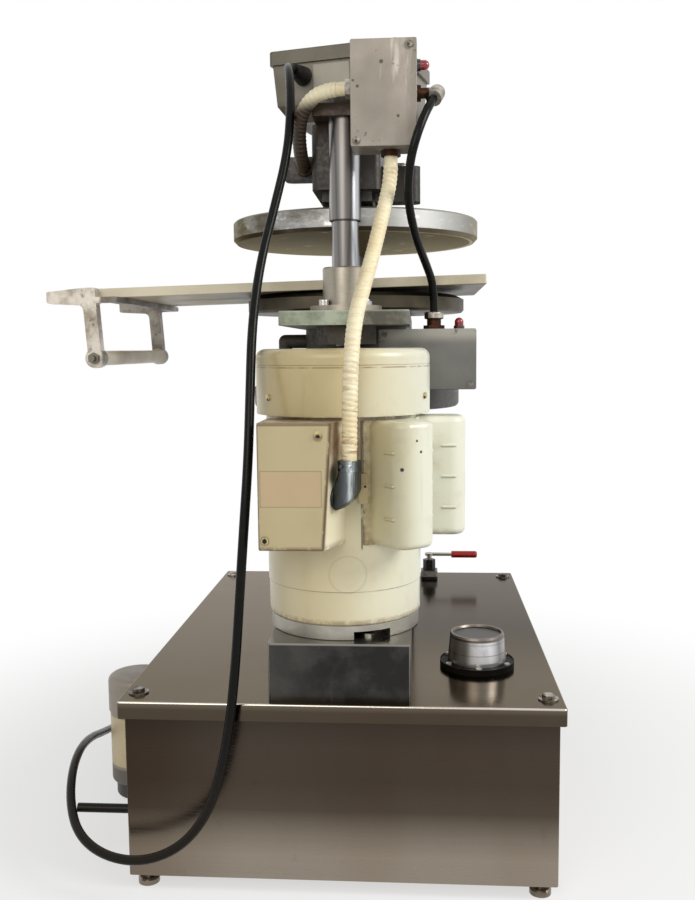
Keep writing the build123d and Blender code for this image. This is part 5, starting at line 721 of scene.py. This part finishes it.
def box_enamel():
    """Hammered enamel of the two junction boxes: pale with whitish runs above, painted shade on the upper
    box's right side, neutral grey below with painted light near its top.
    """
    skin = Skin("box_enamel", Metallic=0.35, Coat_Weight=0.15, Coat_Roughness=0.3)
    tone = skin.noise(9, detail=3)
    runs = skin.noise(24, (1, 1, 0.16), detail=5, warp=0.8)
    pale = skin.pair(tone, (149, 141, 131), (126, 119, 109), 0.3, 0.72)
    pale = skin.mix((runs, 0.56, 0.7, 0, 0.65), pale, (204, 198, 189))
    # Painted shade on the upper box's right side
    pale = skin.mix((skin.x, 0.089, 0.098, 0, 0.45), pale, (96, 89, 79))
    skin.start(tone, (118, 117, 112), (102, 101, 97), 0.3, 0.72)
    skin.over((runs, 0.6, 0.74, 0, 0.4), (142, 141, 136))
    # Painted light near the top of the lower box, where the bed above shades it
    skin.over((skin.z, 0.755, 0.774, 0, 0.6), (182, 178, 168))
    skin.over((skin.z, 0.88, 0.92), pale)
    rubbed = skin.both(skin.noise(150, detail=3), skin.noise(20, detail=2))
    skin.over((rubbed, 0.37, 0.43, 0, 0.7), (64, 56, 48))
    skin.over(skin.most(*[skin.near(*spot) for spot in BOX_SPOTS]), (44, 38, 32), 0.85)
    skin.over(skin.seats(BOX_SCREWS, 0.0066, 0.0012), (74, 66, 58), 0.6)
    return skin.done(tone, 0.36, 0.5, 0.3, 0.8, bump=(skin.cells(260, "SMOOTH_F1"), 0.18, 0.0008))


def control_paint():
    """The control box: dull grey with dark specks, a bare pale plate on its rear, painted shade in brown
    below.
    """
    skin = Skin("control_grey", Metallic=0.35, Coat_Weight=0.1, Coat_Roughness=0.35)
    tone = skin.noise(10)
    skin.start(tone, (128, 122, 108), (102, 96, 84), 0.3, 0.7)
    runs = skin.noise(26, (1, 1, 0.2), detail=5)
    skin.over((runs, 0.58, 0.74, 0, 0.5), (154, 149, 136))
    across, back = skin.local(CONTROL_FOOT, CONTROL_TURN)
    plate = skin.both(skin.patch(across, PLATE_SIDES, PLATE_LEVELS, 0.0007), skin.fall(back, -0.088, -0.084))
    skin.over(plate, (164, 160, 148), 0.8)
    specks = skin.both(skin.fall(skin.cells(34), 0.06, 0.09), (skin.noise(12), 0.45, 0.55))
    skin.over(specks, (40, 34, 28), 0.85)
    # Painted shade, brown, towards the bottom of the box
    skin.over((skin.z, 1.135, 1.155, 0.8, 0), (60, 46, 32))
    skin.over((skin.z, 1.202, 1.206, 0, 0.55), (82, 77, 66))
    return skin.done(tone, 0.4, 0.55, 0.3, 0.8, bump=(skin.cells(240, "SMOOTH_F1"), 0.16, 0.0008))


def screw_metal():
    """Cover screws: painted over on the motor, with painted shade in their slots; bright on the breather,
    dull on the boxes.
    """
    skin = Skin("screw_metal", Metallic=0.6)
    worn = skin.noise(160)
    skin.start(worn, (204, 202, 198), (150, 147, 142))
    dull = skin.pair(worn, (132, 128, 120), (92, 86, 78))
    cream = skin.pair(worn, (214, 200, 156), (186, 168, 120))
    skin.over((skin.z, 0.34, 0.36), dull)
    motor = skin.both(skin.fall(skin.y, -0.29, -0.28), skin.band(skin.z, 0.45, 0.76, 0.01))
    skin.over(motor, cream)
    # Painted shade in the screws' slots
    narrow = skin.seats(FAN_SCREWS + BOX_SCREWS, 0.0024, 0.0008)
    wide = skin.seats(COVER_SCREWS, 0.0036, 0.0008)
    skin.over(skin.most(narrow, wide), (40, 32, 22))
    return skin.done(worn, 0.28, 0.44)


def bolt_metal():
    """Hex bolts: dark on the lid, bright on the pump adapter and the head."""
    skin = Skin("bolt_metal", Metallic=1)
    worn = skin.noise(70, detail=5)
    skin.start(worn, (172, 166, 156), (70, 62, 54))
    bright = skin.pair(worn, (196, 193, 186), (134, 130, 122))
    skin.over((skin.z, 0.335, 0.345), bright)
    return skin.done(worn, 0.26, 0.44, bump=(worn, 0.1, 0.0005))


def fittings_metal():
    """Zinc collars and nuts on rusty nipples; the cord's boot is black and ribbed."""
    skin = Skin("fittings_metal", Specular_IOR_Level=0.2)
    worn = skin.noise(90, detail=5)
    skin.start(worn, (188, 184, 174), (136, 128, 116))
    rust = skin.pair(worn, (74, 46, 32), (46, 34, 28))
    # Brown for the fittings left of the head and lower down: grease, and painted shade on the short conduit's
    # end ring under the head
    grease = skin.pair(worn, (66, 56, 42), (38, 32, 25))
    rusty = skin.most(
        skin.band(skin.x, 0.106, 0.124, 0.001),
        skin.band(skin.z, 0.779, 0.7965, 0.0008),
        skin.patch(skin.x, (0.04, 0.1), (1, 1.03), 0.002),
    )
    skin.over(rusty, rust)
    skin.over(skin.both(skin.fall(skin.x, -0.05, -0.045), skin.fall(skin.z, 1.06, 1.07)), grease)
    boot = skin.both(skin.fall(skin.x, -0.045, -0.04), (skin.z, 1.155, 1.16))
    skin.over(boot, (12, 11, 10))
    skin.set("Metallic", skin.maths("SUBTRACT", 0.85, skin.both(boot, 0.85)))
    back = skin.local(CONTROL_FOOT, CONTROL_TURN)[1]
    waves = skin.maths("SINE", skin.both(back, 1250))
    ribs = skin.both((waves, -0.2, 0.5), boot)
    return skin.done(worn, 0.3, 0.5, bump=(ribs, 0.9, 0.0016))


def moulded(name, colour, dark, roughness, grain=320, sheen=0.5):
    """Plastic, rubber or painted trim with a fine skin and slight soiling."""
    skin = Skin(name, Specular_IOR_Level=sheen)
    tone = skin.noise(11, detail=5, rough=0.6)
    skin.start(tone, colour, dark, 0.35, 0.75)
    peel = skin.noise(grain, detail=2)
    return skin.done(tone, roughness - 0.08, roughness + 0.12, 0.3, 0.8, bump=(peel, 0.12, 0.0005))


def cord_rubber():
    """Black rubber of the cords, scuffed, and browner with dust near the floor."""
    skin = Skin("cord_rubber", Specular_IOR_Level=0.14)
    scuffs = skin.noise(60, detail=5, rough=0.7)
    skin.start(scuffs, (6, 6, 5), (20, 18, 16), 0.5, 0.72)
    skin.over((skin.z, 0.1, 0.3, 0.6, 0), (36, 29, 20))
    return skin.done(scuffs, 0.2, 0.36, 0.3, 0.8, bump=(skin.noise(220, detail=3), 0.15, 0.0006))


def plug_rubber():
    """The plug: black rubber with bright blades."""
    skin = Skin("plug_rubber")
    scuffs = skin.noise(80)
    skin.start(scuffs, (18, 18, 17), (34, 33, 31), 0.4, 0.7)
    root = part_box("cord_plug")[1].y - PLUG_BLADE
    blade = skin.span(skin.y, root, root + 0.0004)
    skin.over(blade, (206, 188, 140))
    skin.set("Metallic", blade)
    return skin.done(scuffs, 0.3, 0.44, bump=(skin.noise(260), 0.1, 0.0005))


def conduit_ivory():
    """Ribbed plastic conduit: ivory, with brown rings low down, dirt and painted shade at the long one's top
    under the upper box, painted shade where the short one runs under the control box.
    """
    skin = Skin("conduit_ivory")
    tone = skin.noise(18, detail=5)
    skin.start(tone, (250, 240, 208), (232, 214, 170), 0.35, 0.75)
    rings = skin.noise(1, (30, 30, 150), detail=3)
    low = skin.both((rings, 0.52, 0.62), (skin.z, 0.62, 0.78, 0.75, 0.15))
    skin.over(low, (170, 134, 84))
    # Brown patches at the long conduit's top, under the upper box: dirt and painted shade
    top = skin.both((skin.z, 0.975, 1.01), (skin.x, 0.03, 0.04), (tone, 0.45, 0.62, 0, 0.7))
    skin.over(top, (140, 98, 62))
    # Painted shade, dark brown, where the short conduit runs down under the control box
    bend = skin.both(skin.fall(skin.x, -0.03, -0.02), skin.fall(skin.z, 1.088, 1.108))
    skin.over(bend, (60, 45, 30))
    return skin.done(tone, 0.4, 0.6, 0.3, 0.8, bump=(skin.noise(300), 0.1, 0.0004))


def board_plastic():
    """The white board: clean at its handle end, soiled towards the platens, stained underneath, with painted
    shade under it near the platens.
    """
    skin = Skin("board_plastic", Specular_IOR_Level=0.2)
    tone = skin.noise(11, detail=5, rough=0.6)
    skin.start(tone, (242, 233, 210), (226, 215, 190), 0.35, 0.75)
    soiled = skin.pair(tone, (210, 202, 180), (188, 179, 156), 0.35, 0.75)
    skin.over((skin.x, -0.35, 0), soiled)
    level = skin.maths("SUBTRACT", skin.z, skin.both(skin.x, BOARD_SLOPE))
    under = skin.span(level, BOARD_UNDERSIDE + 0.0003, BOARD_UNDERSIDE + 0.001, 0.9, 0)
    # Tan underneath, darker with painted shade towards the platens
    skin.over(under, skin.pair(skin.x, (178, 162, 128), (100, 92, 72), -0.28, -0.17))
    return skin.done(tone, 0.36, 0.55, 0.3, 0.8, bump=(skin.noise(240), 0.12, 0.0005))


def filter_paint():
    """Filter can: dark foot, a bare pale label band, grey above."""
    skin = Skin("filter_paint", Metallic=0.2)
    tone = skin.noise(14)
    skin.start(tone, (160, 152, 140), (136, 128, 116), 0.35, 0.7)
    paper = skin.pair(tone, (214, 199, 166), (192, 166, 112), 0.4, 0.66)
    skin.over(skin.band(skin.z, 0.068, 0.150, 0.0012), paper)
    skin.over(skin.fall(skin.z, 0.062, 0.064), (112, 106, 98))
    skin.over(skin.fall(skin.z, 0.036, 0.04), (62, 58, 54))
    return skin.done(tone, 0.4, 0.56, bump=(skin.noise(260), 0.1, 0.0005))


def spun_metal():
    """The breather's spun cap: painted reflections in bands round it, fine rings, a bright bead, a groove and
    a dished top darkened by a painted reflection.
    """
    skin = Skin("spun_metal", Metallic=1)
    across, deep = skin.local(BREATHER_AXIS)
    # Painted reflections: light and dark bands by the angle round the cap
    skin.ramp(skin.around(across, skin.both(deep, -1)), [
        (0, (150, 147, 143)), (0.25, (86, 80, 75)), (0.33, (168, 165, 162)), (0.42, (146, 142, 138)),
        (0.51, (212, 211, 212)), (0.57, (226, 226, 229)), (0.63, (138, 136, 135)), (0.69, (178, 176, 175)),
        (0.76, (92, 87, 82)), (1, (150, 147, 143)),
    ])
    rings = skin.noise(1, (2, 2, 700), detail=2)
    skin.over((rings, 0.56, 0.7, 0, 0.35), (92, 87, 82))
    skin.over(skin.band(skin.z, 0.2835, 0.287, 0.001), (206, 203, 198))
    skin.over(skin.seam(BREATHER_GROOVE, 0.0011), (84, 80, 76), 0.6)
    skin.over((skin.z, 0.3165, 0.3195), (116, 108, 101))
    # Painted reflection: the dished top made dark
    dished = skin.both(skin.fall(skin.reach(BREATHER_AXIS), 0.033, 0.036), (skin.z, 0.3, 0.305))
    skin.over(dished, (50, 45, 37))
    skin.over((skin.noise(30, detail=5), 0.55, 0.75, 0, 0.5), (84, 76, 68))
    return skin.done(rings, 0.3, 0.4)


def lamp_glass():
    """Red domes on dark bezels."""
    skin = Skin("lamp_glass", IOR=1.5, Coat_Weight=0.6)
    skin.colour = skin.mix(skin.noise(120), (168, 18, 28), (112, 8, 18))
    upper = skin.both(skin.fall(skin.x, 0.1115, 0.1122), (skin.z, 0.9, 1))
    bezels = skin.most(upper, skin.fall(skin.z, 0.7845, 0.7852))
    skin.over(bezels, (46, 24, 22))
    return skin.done(bezels, 0.12, 0.4, 0, 1)


def valve_metal():
    """The hand valve's body: a bright block with a black foot, under a black nut."""
    skin = Skin("valve_metal", Metallic=0.7)
    worn = skin.noise(120)
    skin.start(worn, (34, 32, 30), (62, 58, 54), 0.4, 0.7)
    bright = skin.pair(worn, (170, 166, 158), (126, 122, 114), 0.4, 0.7)
    skin.over(skin.band(skin.z, 0.2785, 0.2903, 0.0006), bright)
    return skin.done(worn, 0.3, 0.48)


# Tank: painted reflection, lighter towards the floor, and painted shade on its left side
TANK_STEEL = stainless(
    "tank_steel",
    [
        (0.02, (150, 141, 130)), (0.055, (150, 140, 128)), (0.085, (128, 119, 108)), (0.12, (84, 75, 66)),
        (0.16, (74, 65, 57)), (0.21, (73, 64, 57)), (0.25, (62, 55, 49)),
    ],
    (3, 3, 420), 0.26, (-0.12, -0.3), (-0.6, -0.5), (216, 210, 204),
)
# Lid: painted shade on its front flange, a painted highlight at its fold, painted shade towards the right and
# back
LID_STEEL = stainless(
    "lid_steel",
    [(0.24, (76, 67, 57)), (0.263, (78, 69, 59)), (0.269, (98, 89, 78)), (0.2731, (96, 87, 75))],
    (3, 420, 30), 0.15, (-0.1, 0.12), (-0.3, 0), (64, 59, 52),
)
TAB_CREAM = moulded("tab_cream", (206, 190, 146), (150, 126, 84), 0.5, 160)
BLACK_PLASTIC = moulded("black_plastic", (22, 22, 22), (32, 31, 30), 0.36)
CAPACITOR_CREAM = capacitor_paint()
ELBOW_ZINC = elbow_zinc()
CORD_RUBBER = cord_rubber()
CONDUIT_IVORY = conduit_ivory()

# The nodes that wear each material
FINISHES = [
    (TANK_STEEL, "tank_body"),
    (LID_STEEL, "tank_lid"),
    (riser_steel(), "motor_riser"),
    (bolt_metal(), "hex_bolts"),
    (machined("foot_steel", (136, 126, 114), (40, 34, 28), (60, 60, 260), 0.2, 0.8), "tank_feet"),
    (machined("raw_aluminium", (166, 163, 154), (124, 118, 108), (90, 90, 240), 0.36, 0.4), "pump_adapter"),
    (
        casting("dark_casting", (66, 60, 52), (42, 37, 31), (92, 84, 72), 0.6),
        "gear_pump", "cylinder_barrel", "post_nuts",
    ),
    (motor_paint(), "motor_endshield", "motor_frame", "fan_cover"),
    (conduit_box_paint(), "conduit_box"),
    (conduit_cover_paint(), "conduit_box_cover"),
    (CAPACITOR_CREAM, "capacitor_covers"),
    (
        casting("core_iron", (88, 84, 80), (64, 60, 56), (120, 112, 104), 0.5, metallic=0.8),
        "motor_stator", "motor_rotor",
    ),
    (
        machined("bright_steel", (178, 173, 162), (120, 113, 102), (60, 60, 600), 0.24, 0.4),
        "motor_bearings", "valve_lever",
    ),
    (BLACK_PLASTIC, "cooling_fan", "capacitors", "temperature_knob"),
    (ELBOW_ZINC, "conduit_elbow"),
    (screw_metal(), "cover_screws"),
    (moulded("flange_black", (9, 8, 7), (34, 28, 23), 0.5, 200, 0.08), "breather_flange"),
    (spun_metal(), "breather_cap"),
    (filter_paint(), "filter_head", "filter_can"),
    # The pedestal's dark grey carries painted shade
    (casting("grey_casting", (70, 69, 67), (56, 55, 53), (92, 92, 91), 0.5), "pedestal"),
    (post_chrome(), "ram", "guide_posts"),
    (bed_paint(), "bed_plate"),
    (machined("collar_steel", (152, 146, 134), (106, 99, 88), (60, 60, 600), 0.28, 0.4), "post_collars"),
    (machined("screw_chrome", (196, 194, 190), (130, 126, 120), (90, 90, 90), 0.14, 0.2), "collar_screws"),
    (machined("table_metal", (84, 78, 66), (58, 53, 44), (20, 20, 700), 0.4, 0.5), "lower_platen"),
    (platen_metal(), "upper_platen"),
    (moulded("insulator_tan", (150, 138, 112), (116, 104, 82), 0.7, 160), "platen_insulator"),
    (head_iron(), "head_casting"),
    (board_plastic(), "die_board"),
    (handle_casting(), "handle_frame"),
    (machined("dull_steel", (128, 124, 116), (84, 76, 68), (90, 90, 300), 0.36, 0.5), "handle_rod"),
    (moulded("grip_white", (250, 238, 212), (228, 214, 186), 0.42, 240), "handle_grip"),
    (control_paint(), "control_box", "control_box_lid"),
    (moulded("grip_red", (186, 40, 30), (152, 26, 20), 0.34), "start_button", "lever_grip"),
    (box_enamel(), "upper_box", "lower_box", "junction_box_covers"),
    (lamp_glass(), "pilot_lamps"),
    (fittings_metal(), "cord_fittings"),
    (plug_rubber(), "cord_plug"),
    (CORD_RUBBER, "cord_clip"),
    (valve_metal(), "valve_body"),
]


def dress_nodes():
    """Give every CAD node its finish."""
    for material, *names in FINISHES:
        for name in names:
            slots = nodes[name].data.materials
            slots.clear()
            slots.append(material)


# Small pieces of the scene's own
def softened(soft, segments):
    """The primitive just added, with its place and turn applied and its edges rounded."""
    bpy.ops.object.transform_apply(location=True, rotation=True, scale=True)
    bpy.ops.object.mode_set(mode="EDIT")
    bpy.ops.mesh.select_all(action="SELECT")
    bpy.ops.mesh.bevel(offset=soft, segments=segments)
    bpy.ops.object.mode_set(mode="OBJECT")
    return bpy.context.object


def bevelled_block(size, place, turn, soft):
    """A block at its size and place, turned about Z, with rounded edges."""
    deselect()
    spin = (0.0, 0.0, math.radians(turn))
    bpy.ops.mesh.primitive_cube_add(size=1.0, location=place, rotation=spin, scale=size)
    return softened(soft, 3)


def rod(place, way, radius, length):
    """A short round rod centred on a place, along a way."""
    deselect()
    turn = way.to_track_quat("Z", "Y").to_euler()
    bpy.ops.mesh.primitive_cylinder_add(
        vertices=ROUND_SIDES, radius=radius, depth=length, location=place, rotation=turn,
    )
    return softened(radius * ROD_SOFT, 2)


def joined(name, pieces):
    """One smooth piece from several, on the fixed body."""
    deselect()
    for piece in pieces:
        piece.select_set(True)
    bpy.context.view_layer.objects.active = pieces[0]
    bpy.ops.object.join()
    whole = bpy.context.object
    whole.name = name
    smooth(whole)
    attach(whole, "base")
    return whole


def press_ridges():
    """Three ridges on each side wall of each capacitor cover, copied from one."""
    model = bevelled_block(RIDGE_SIZE, (0.0, 0.0, 0.0), 0.0, RIDGE_SOFT)
    ridges = []
    for turn in CAPACITOR_TURNS:
        spin = Matrix.Rotation(math.radians(turn), 4, "Z")
        for side in (-1, 1):
            for level in RIDGE_LEVELS:
                place = Vector(MOTOR_FOOT) + spin @ Vector((RIDGE_OUT, side * RIDGE_SIDE, level))
                ridges.append(placed("ridge", model.data.copy()))
                ridges[-1].data.transform(Matrix.Translation(place) @ spin)
    # The model's object goes with its mesh
    bpy.data.meshes.remove(model.data)
    whole = joined("capacitor_cover_ridges", ridges)
    whole.data.materials.append(CAPACITOR_CREAM)


def elbow_body():
    """The slanted body over the elbow's bend, with its wall ring and the clamp's two screws."""
    out = Vector(ELBOW_OUT)
    seat = Vector(ELBOW_SEAT)
    nearer = Vector((out.y, -out.x, 0.0))
    deselect()
    bpy.ops.mesh.primitive_circle_add(vertices=len(ELBOW_OUTLINE), fill_type="NGON")
    body = bpy.context.object
    for vertex, (reach, rise) in zip(body.data.vertices, ELBOW_OUTLINE):
        vertex.co = seat + out * reach + Vector((0.0, 0.0, rise))
    wall = body.modifiers.new("wall", "SOLIDIFY")
    wall.thickness = ELBOW_THICK
    wall.offset = 0.0
    bpy.ops.object.modifier_apply(modifier="wall")
    bpy.ops.object.mode_set(mode="EDIT")
    bpy.ops.mesh.select_all(action="SELECT")
    bpy.ops.mesh.normals_make_consistent(inside=False)
    bpy.ops.mesh.bevel(offset=ELBOW_SOFT, segments=4, clamp_overlap=True)
    bpy.ops.object.mode_set(mode="OBJECT")
    ring_place = seat + out * (ELBOW_RING_DEPTH / 2)
    pieces = [body, rod(ring_place, out, ELBOW_RING, ELBOW_RING_DEPTH)]
    for side in (-1, 1):
        reach = ELBOW_CLAMP_REACH + side * ELBOW_SCREW_SPREAD
        place = seat + out * reach + nearer * ELBOW_CLAMP_NEARER
        place.z += ELBOW_CLAMP_RISE
        pieces.append(rod(place, nearer, ELBOW_SCREW_RADIUS, ELBOW_SCREW_LENGTH))
    whole = joined("elbow_body", pieces)
    whole.data.materials.append(ELBOW_ZINC)


def frame_tab():
    """The tab and its screw."""
    tab = bevelled_block(TAB_SIZE, TAB_PLACE, TAB_TURN, TAB_SOFT)
    tab.data.materials.append(TAB_CREAM)
    turn = math.radians(TAB_TURN)
    way = Vector((math.sin(turn), -math.cos(turn), 0.0))
    place = Vector(TAB_SCREW)
    head = rod(place, way, TAB_SCREW_RADIUS, TAB_SCREW_LENGTH)
    head.data.materials.append(TAB_CREAM)
    inside = place + way * TAB_SOCKET_PROUD
    socket = rod(inside, way, TAB_SOCKET_RADIUS, TAB_SCREW_LENGTH)
    socket.data.materials.append(BLACK_PLASTIC)
    joined("frame_tab", [tab, head, socket])


def coil_tie():
    """A strap round both strands of the put-away coil, with its head and tail."""
    x = COIL_CENTRE[0] + COIL_RADIUS
    y = COIL_CENTRE[1]
    middle = COIL_FLOOR + COIL_STEP
    deselect()
    bpy.ops.mesh.primitive_cylinder_add(
        vertices=ROUND_SIDES, radius=TIE_RADIUS, depth=TIE_WIDTH, end_fill_type="NOTHING",
        location=(x, y, middle), rotation=(math.pi / 2, 0.0, 0.0),
    )
    bpy.ops.object.transform_apply(location=True, rotation=True, scale=True)
    strap = bpy.context.object
    for side in (-1, 1):
        bpy.ops.object.mode_set(mode="EDIT")
        bpy.ops.mesh.select_all(action="DESELECT")
        bpy.ops.object.mode_set(mode="OBJECT")
        for vertex in strap.data.vertices:
            vertex.select = (vertex.co.z - middle) * side > TIE_STILL
        bpy.ops.object.mode_set(mode="EDIT")
        bpy.ops.transform.translate(value=(0.0, 0.0, side * COIL_STEP / 2))
        bpy.ops.object.mode_set(mode="OBJECT")
    wall = strap.modifiers.new("wall", "SOLIDIFY")
    wall.thickness = TIE_THICKNESS
    wall.offset = 1.0
    bpy.ops.object.modifier_apply(modifier="wall")
    outside = x + TIE_RADIUS + TIE_THICKNESS
    head = bevelled_block(TIE_HEAD, (outside + TIE_HEAD_OUT, y, middle), 0.0, TIE_HEAD_SOFT)
    tail = bevelled_block(TIE_TAIL, (outside + TIE_TAIL_OUT, y, middle), 0.0, TIE_TAIL_SOFT)
    tie = joined("coil_tie", [strap, head, tail])
    tie.data.materials.append(BLACK_PLASTIC)
    return tie


# Cords and conduits
def route_curve(name, points):
    """One smooth open line along a listed route."""
    data = bpy.data.curves.new(name, "CURVE")
    data.dimensions = "3D"
    data.resolution_u = 8
    line = data.splines.new("NURBS")
    line.points.add(len(points) - 1)
    for point, place in zip(line.points, points):
        point.co = (*place, 1.0)
    line.order_u = 3
    line.use_endpoint_u = True
    return placed(name, data)


def round_cord(name, points, diameter, *cad_nodes):
    """A black rubber cord along a route, in place of its CAD nodes."""
    curve = route_curve(name, points)
    curve.data.bevel_depth = diameter / 2
    curve.data.bevel_resolution = 5
    curve.data.use_fill_caps = True
    curve.data.materials.append(CORD_RUBBER)
    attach(curve, "base")
    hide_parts(*cad_nodes)
    return curve


def line_points(points):
    """Points read from the smooth line of a route."""
    curve = route_curve("conduit_line", points)
    curve.data.resolution_u = 24
    mesh = bpy.data.meshes.new_from_object(curve)
    places = [vertex.co.copy() for vertex in mesh.vertices]
    bpy.data.meshes.remove(mesh)
    data = curve.data
    bpy.data.objects.remove(curve)
    bpy.data.curves.remove(data)
    return places


def even_steps(places, step):
    """Points, headings and distances at even steps along a line of points, and the line's length."""
    total = sum((after - before).length for before, after in zip(places, places[1:]))
    count = round(total / step)
    marks = [total * i / count for i in range(count + 1)]
    found = []
    walked = 0.0
    index = 0
    for mark in marks:
        while index < len(places) - 2 and walked + (places[index + 1] - places[index]).length < mark:
            walked += (places[index + 1] - places[index]).length
            index += 1
        run = places[index + 1] - places[index]
        found.append((places[index] + run * ((mark - walked) / run.length), run.normalized(), mark))
    return found, total


def ribbed_conduit(name, points, across, node):
    """A spirally ribbed tube: each ring's radius rises and falls along the line, and its crest leans."""
    rings, total = even_steps(line_points(points), RIB_PITCH / RIB_STEPS)
    sides = CONDUIT_SIDES
    corners = []
    faces = []
    for index, (at, heading, mark) in enumerate(rings):
        first = across.cross(heading).normalized()
        second = heading.cross(first)
        plain = min(mark, total - mark) < CONDUIT_PLAIN_END
        for side in range(sides):
            angle = 2 * math.pi * side / sides
            wave = 0.5 + 0.5 * math.cos(2 * math.pi * mark / RIB_PITCH + angle)
            share = 0.0 if plain else wave ** RIB_FULLNESS
            radius = (CONDUIT_ROOT + (CONDUIT_DIAMETER - CONDUIT_ROOT) * share) / 2
            corners.append(at + first * (radius * math.cos(angle)) + second * (radius * math.sin(angle)))
        if index:
            low = (index - 1) * sides
            high = index * sides
            for side in range(sides):
                after = (side + 1) % sides
                faces.append((low + side, low + after, high + after, high + side))
    last = (len(rings) - 1) * sides
    faces.append(tuple(reversed(range(sides))))
    faces.append(tuple(range(last, last + sides)))
    mesh = bpy.data.meshes.new(name)
    mesh.from_pydata(corners, [], faces)
    tube = placed(name, mesh)
    mesh.materials.append(CONDUIT_IVORY)
    smooth(tube)
    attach(tube, "base")
    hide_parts(node)


def coil_points():
    """The coil's turns, falling clockwise from the lead-in at its left, then the tail to the plug."""
    turns = []
    widened = COIL_RADIUS / math.cos(math.pi / COIL_POINTS)
    last = COIL_TURNS * COIL_POINTS
    for i in range(1, last + 1):
        wound = (i - 0.5) / COIL_POINTS
        angle = math.pi - 2 * math.pi * wound
        rise = COIL_STEP * (COIL_TURNS - wound) if i < last else 0.0
        x = COIL_CENTRE[0] + widened * math.cos(angle)
        turns.append((x, COIL_CENTRE[1] + widened * math.sin(angle), COIL_FLOOR + rise))
    tail_start = (COIL_TAIL_END[0], COIL_CENTRE[1] + COIL_TAIL_START, COIL_FLOOR)
    return [*turns, tail_start, COIL_TAIL_END]


def lay_cords():
    link = round_cord("link_cord_line", LINK_ROUTE, LINK_DIAMETER, "link_cord")
    mains_route = CORD_ROUTE + coil_points()
    mains = round_cord("power_cord_line", mains_route, CORD_DIAMETER, "power_cord", "cord_coil")
    coil_tie()
    hose = round_cord("pressure_hose_line", HOSE_ROUTE, HOSE_DIAMETER, "pressure_hose")
    ribbed_conduit("long_conduit_tube", LONG_CONDUIT_ROUTE, Vector((0, 1, 0)), "long_conduit")
    ribbed_conduit("short_conduit_tube", SHORT_CONDUIT_ROUTE, Vector((0, 0, 1)), "short_conduit")


# Floor, light and camera
def plain_view(tree):
    """1 for rays from the camera, and in mirrors and glass; 0 for rays that only light the scene."""
    rays = tree.node("ShaderNodeLightPath").outputs
    either = tree.maths("MAXIMUM", rays["Is Camera Ray"], rays["Is Glossy Ray"])
    return tree.maths("MAXIMUM", either, rays["Is Transmission Ray"])


def make_world():
    world = bpy.data.worlds.new("studio")
    bpy.context.scene.world = world
    world.use_nodes = True
    world.node_tree.nodes.clear()
    tree = Nodes(world.node_tree)
    room = tree.node("ShaderNodeBackground", {"Color": (1.0, 0.99, 0.97, 1.0), "Strength": 0.3})
    white = tree.node("ShaderNodeBackground", {"Color": (1.0, 1.0, 1.0, 1.0), "Strength": 1.0})
    tree.end("ShaderNodeOutputWorld", plain_view(tree), room, white)


def make_floor():
    """A matte floor under the object that fades to plain white away from it."""
    deselect()
    bpy.ops.mesh.primitive_plane_add(size=FLOOR_SIZE, location=(0, 0, FLOOR_LEVEL))
    floor = bpy.context.object
    floor.name = "studio_floor"
    material = bpy.data.materials.new("floor_white")
    material.use_nodes = True
    material.node_tree.nodes.clear()
    tree = Nodes(material.node_tree)
    matte = tree.node("ShaderNodeBsdfDiffuse", {"Color": (0.86, 0.86, 0.85, 1.0)})
    glow = tree.node("ShaderNodeEmission")
    spot = tree.node("ShaderNodeTexCoord").outputs["Object"]
    far = tree.node("ShaderNodeVectorMath", {0: spot}, operation="LENGTH").outputs["Value"]
    share = tree.maths("MULTIPLY", plain_view(tree), tree.span(far, *FLOOR_FADE, *FLOOR_WHITE))
    tree.end("ShaderNodeOutputMaterial", share, matte, glow)
    floor.data.materials.append(material)


def area_light(name, place, target, size, watts, colour):
    data = bpy.data.lights.new(name, "AREA")
    data.shape = "DISK"
    data.size = size
    data.energy = watts
    data.color = colour
    lamp = placed(name, data)
    lamp.location = place
    lamp.rotation_euler = (Vector(target) - Vector(place)).to_track_quat("-Z", "Y").to_euler()


def make_camera():
    """The photograph's camera: its roll comes first, then its pitch, then its yaw."""
    data = bpy.data.cameras.new("photo_camera")
    data.sensor_fit = "VERTICAL"
    data.sensor_height = SENSOR
    data.lens = FOCAL_PIXELS / PHOTO_HEIGHT * SENSOR
    camera = placed("photo_camera", data)
    turn = Matrix.Rotation(math.radians(CAMERA_YAW), 4, "Z")
    tilt = Matrix.Rotation(math.radians(90 - CAMERA_PITCH), 4, "X")
    roll = Matrix.Rotation(math.radians(CAMERA_ROLL), 4, "Z")
    camera.matrix_world = Matrix.Translation(CAMERA_PLACE) @ turn @ tilt @ roll
    bpy.context.scene.camera = camera


dress_nodes()
press_ridges()
elbow_body()
frame_tab()
lay_cords()
make_world()
make_floor()
area_light(
    "right_key", place=(2.3, -1.0, 2.1), target=(0, -0.15, 0.6), size=1.3, watts=48, colour=(1.0, 1.0, 0.98),
)
area_light(
    "front_fill", place=(-0.7, -2.6, 1.9), target=(0, 0, 0.6), size=1.8, watts=25, colour=(1.0, 0.96, 0.88),
)
make_camera()
bpy.context.scene.view_settings.view_transform = "Standard"
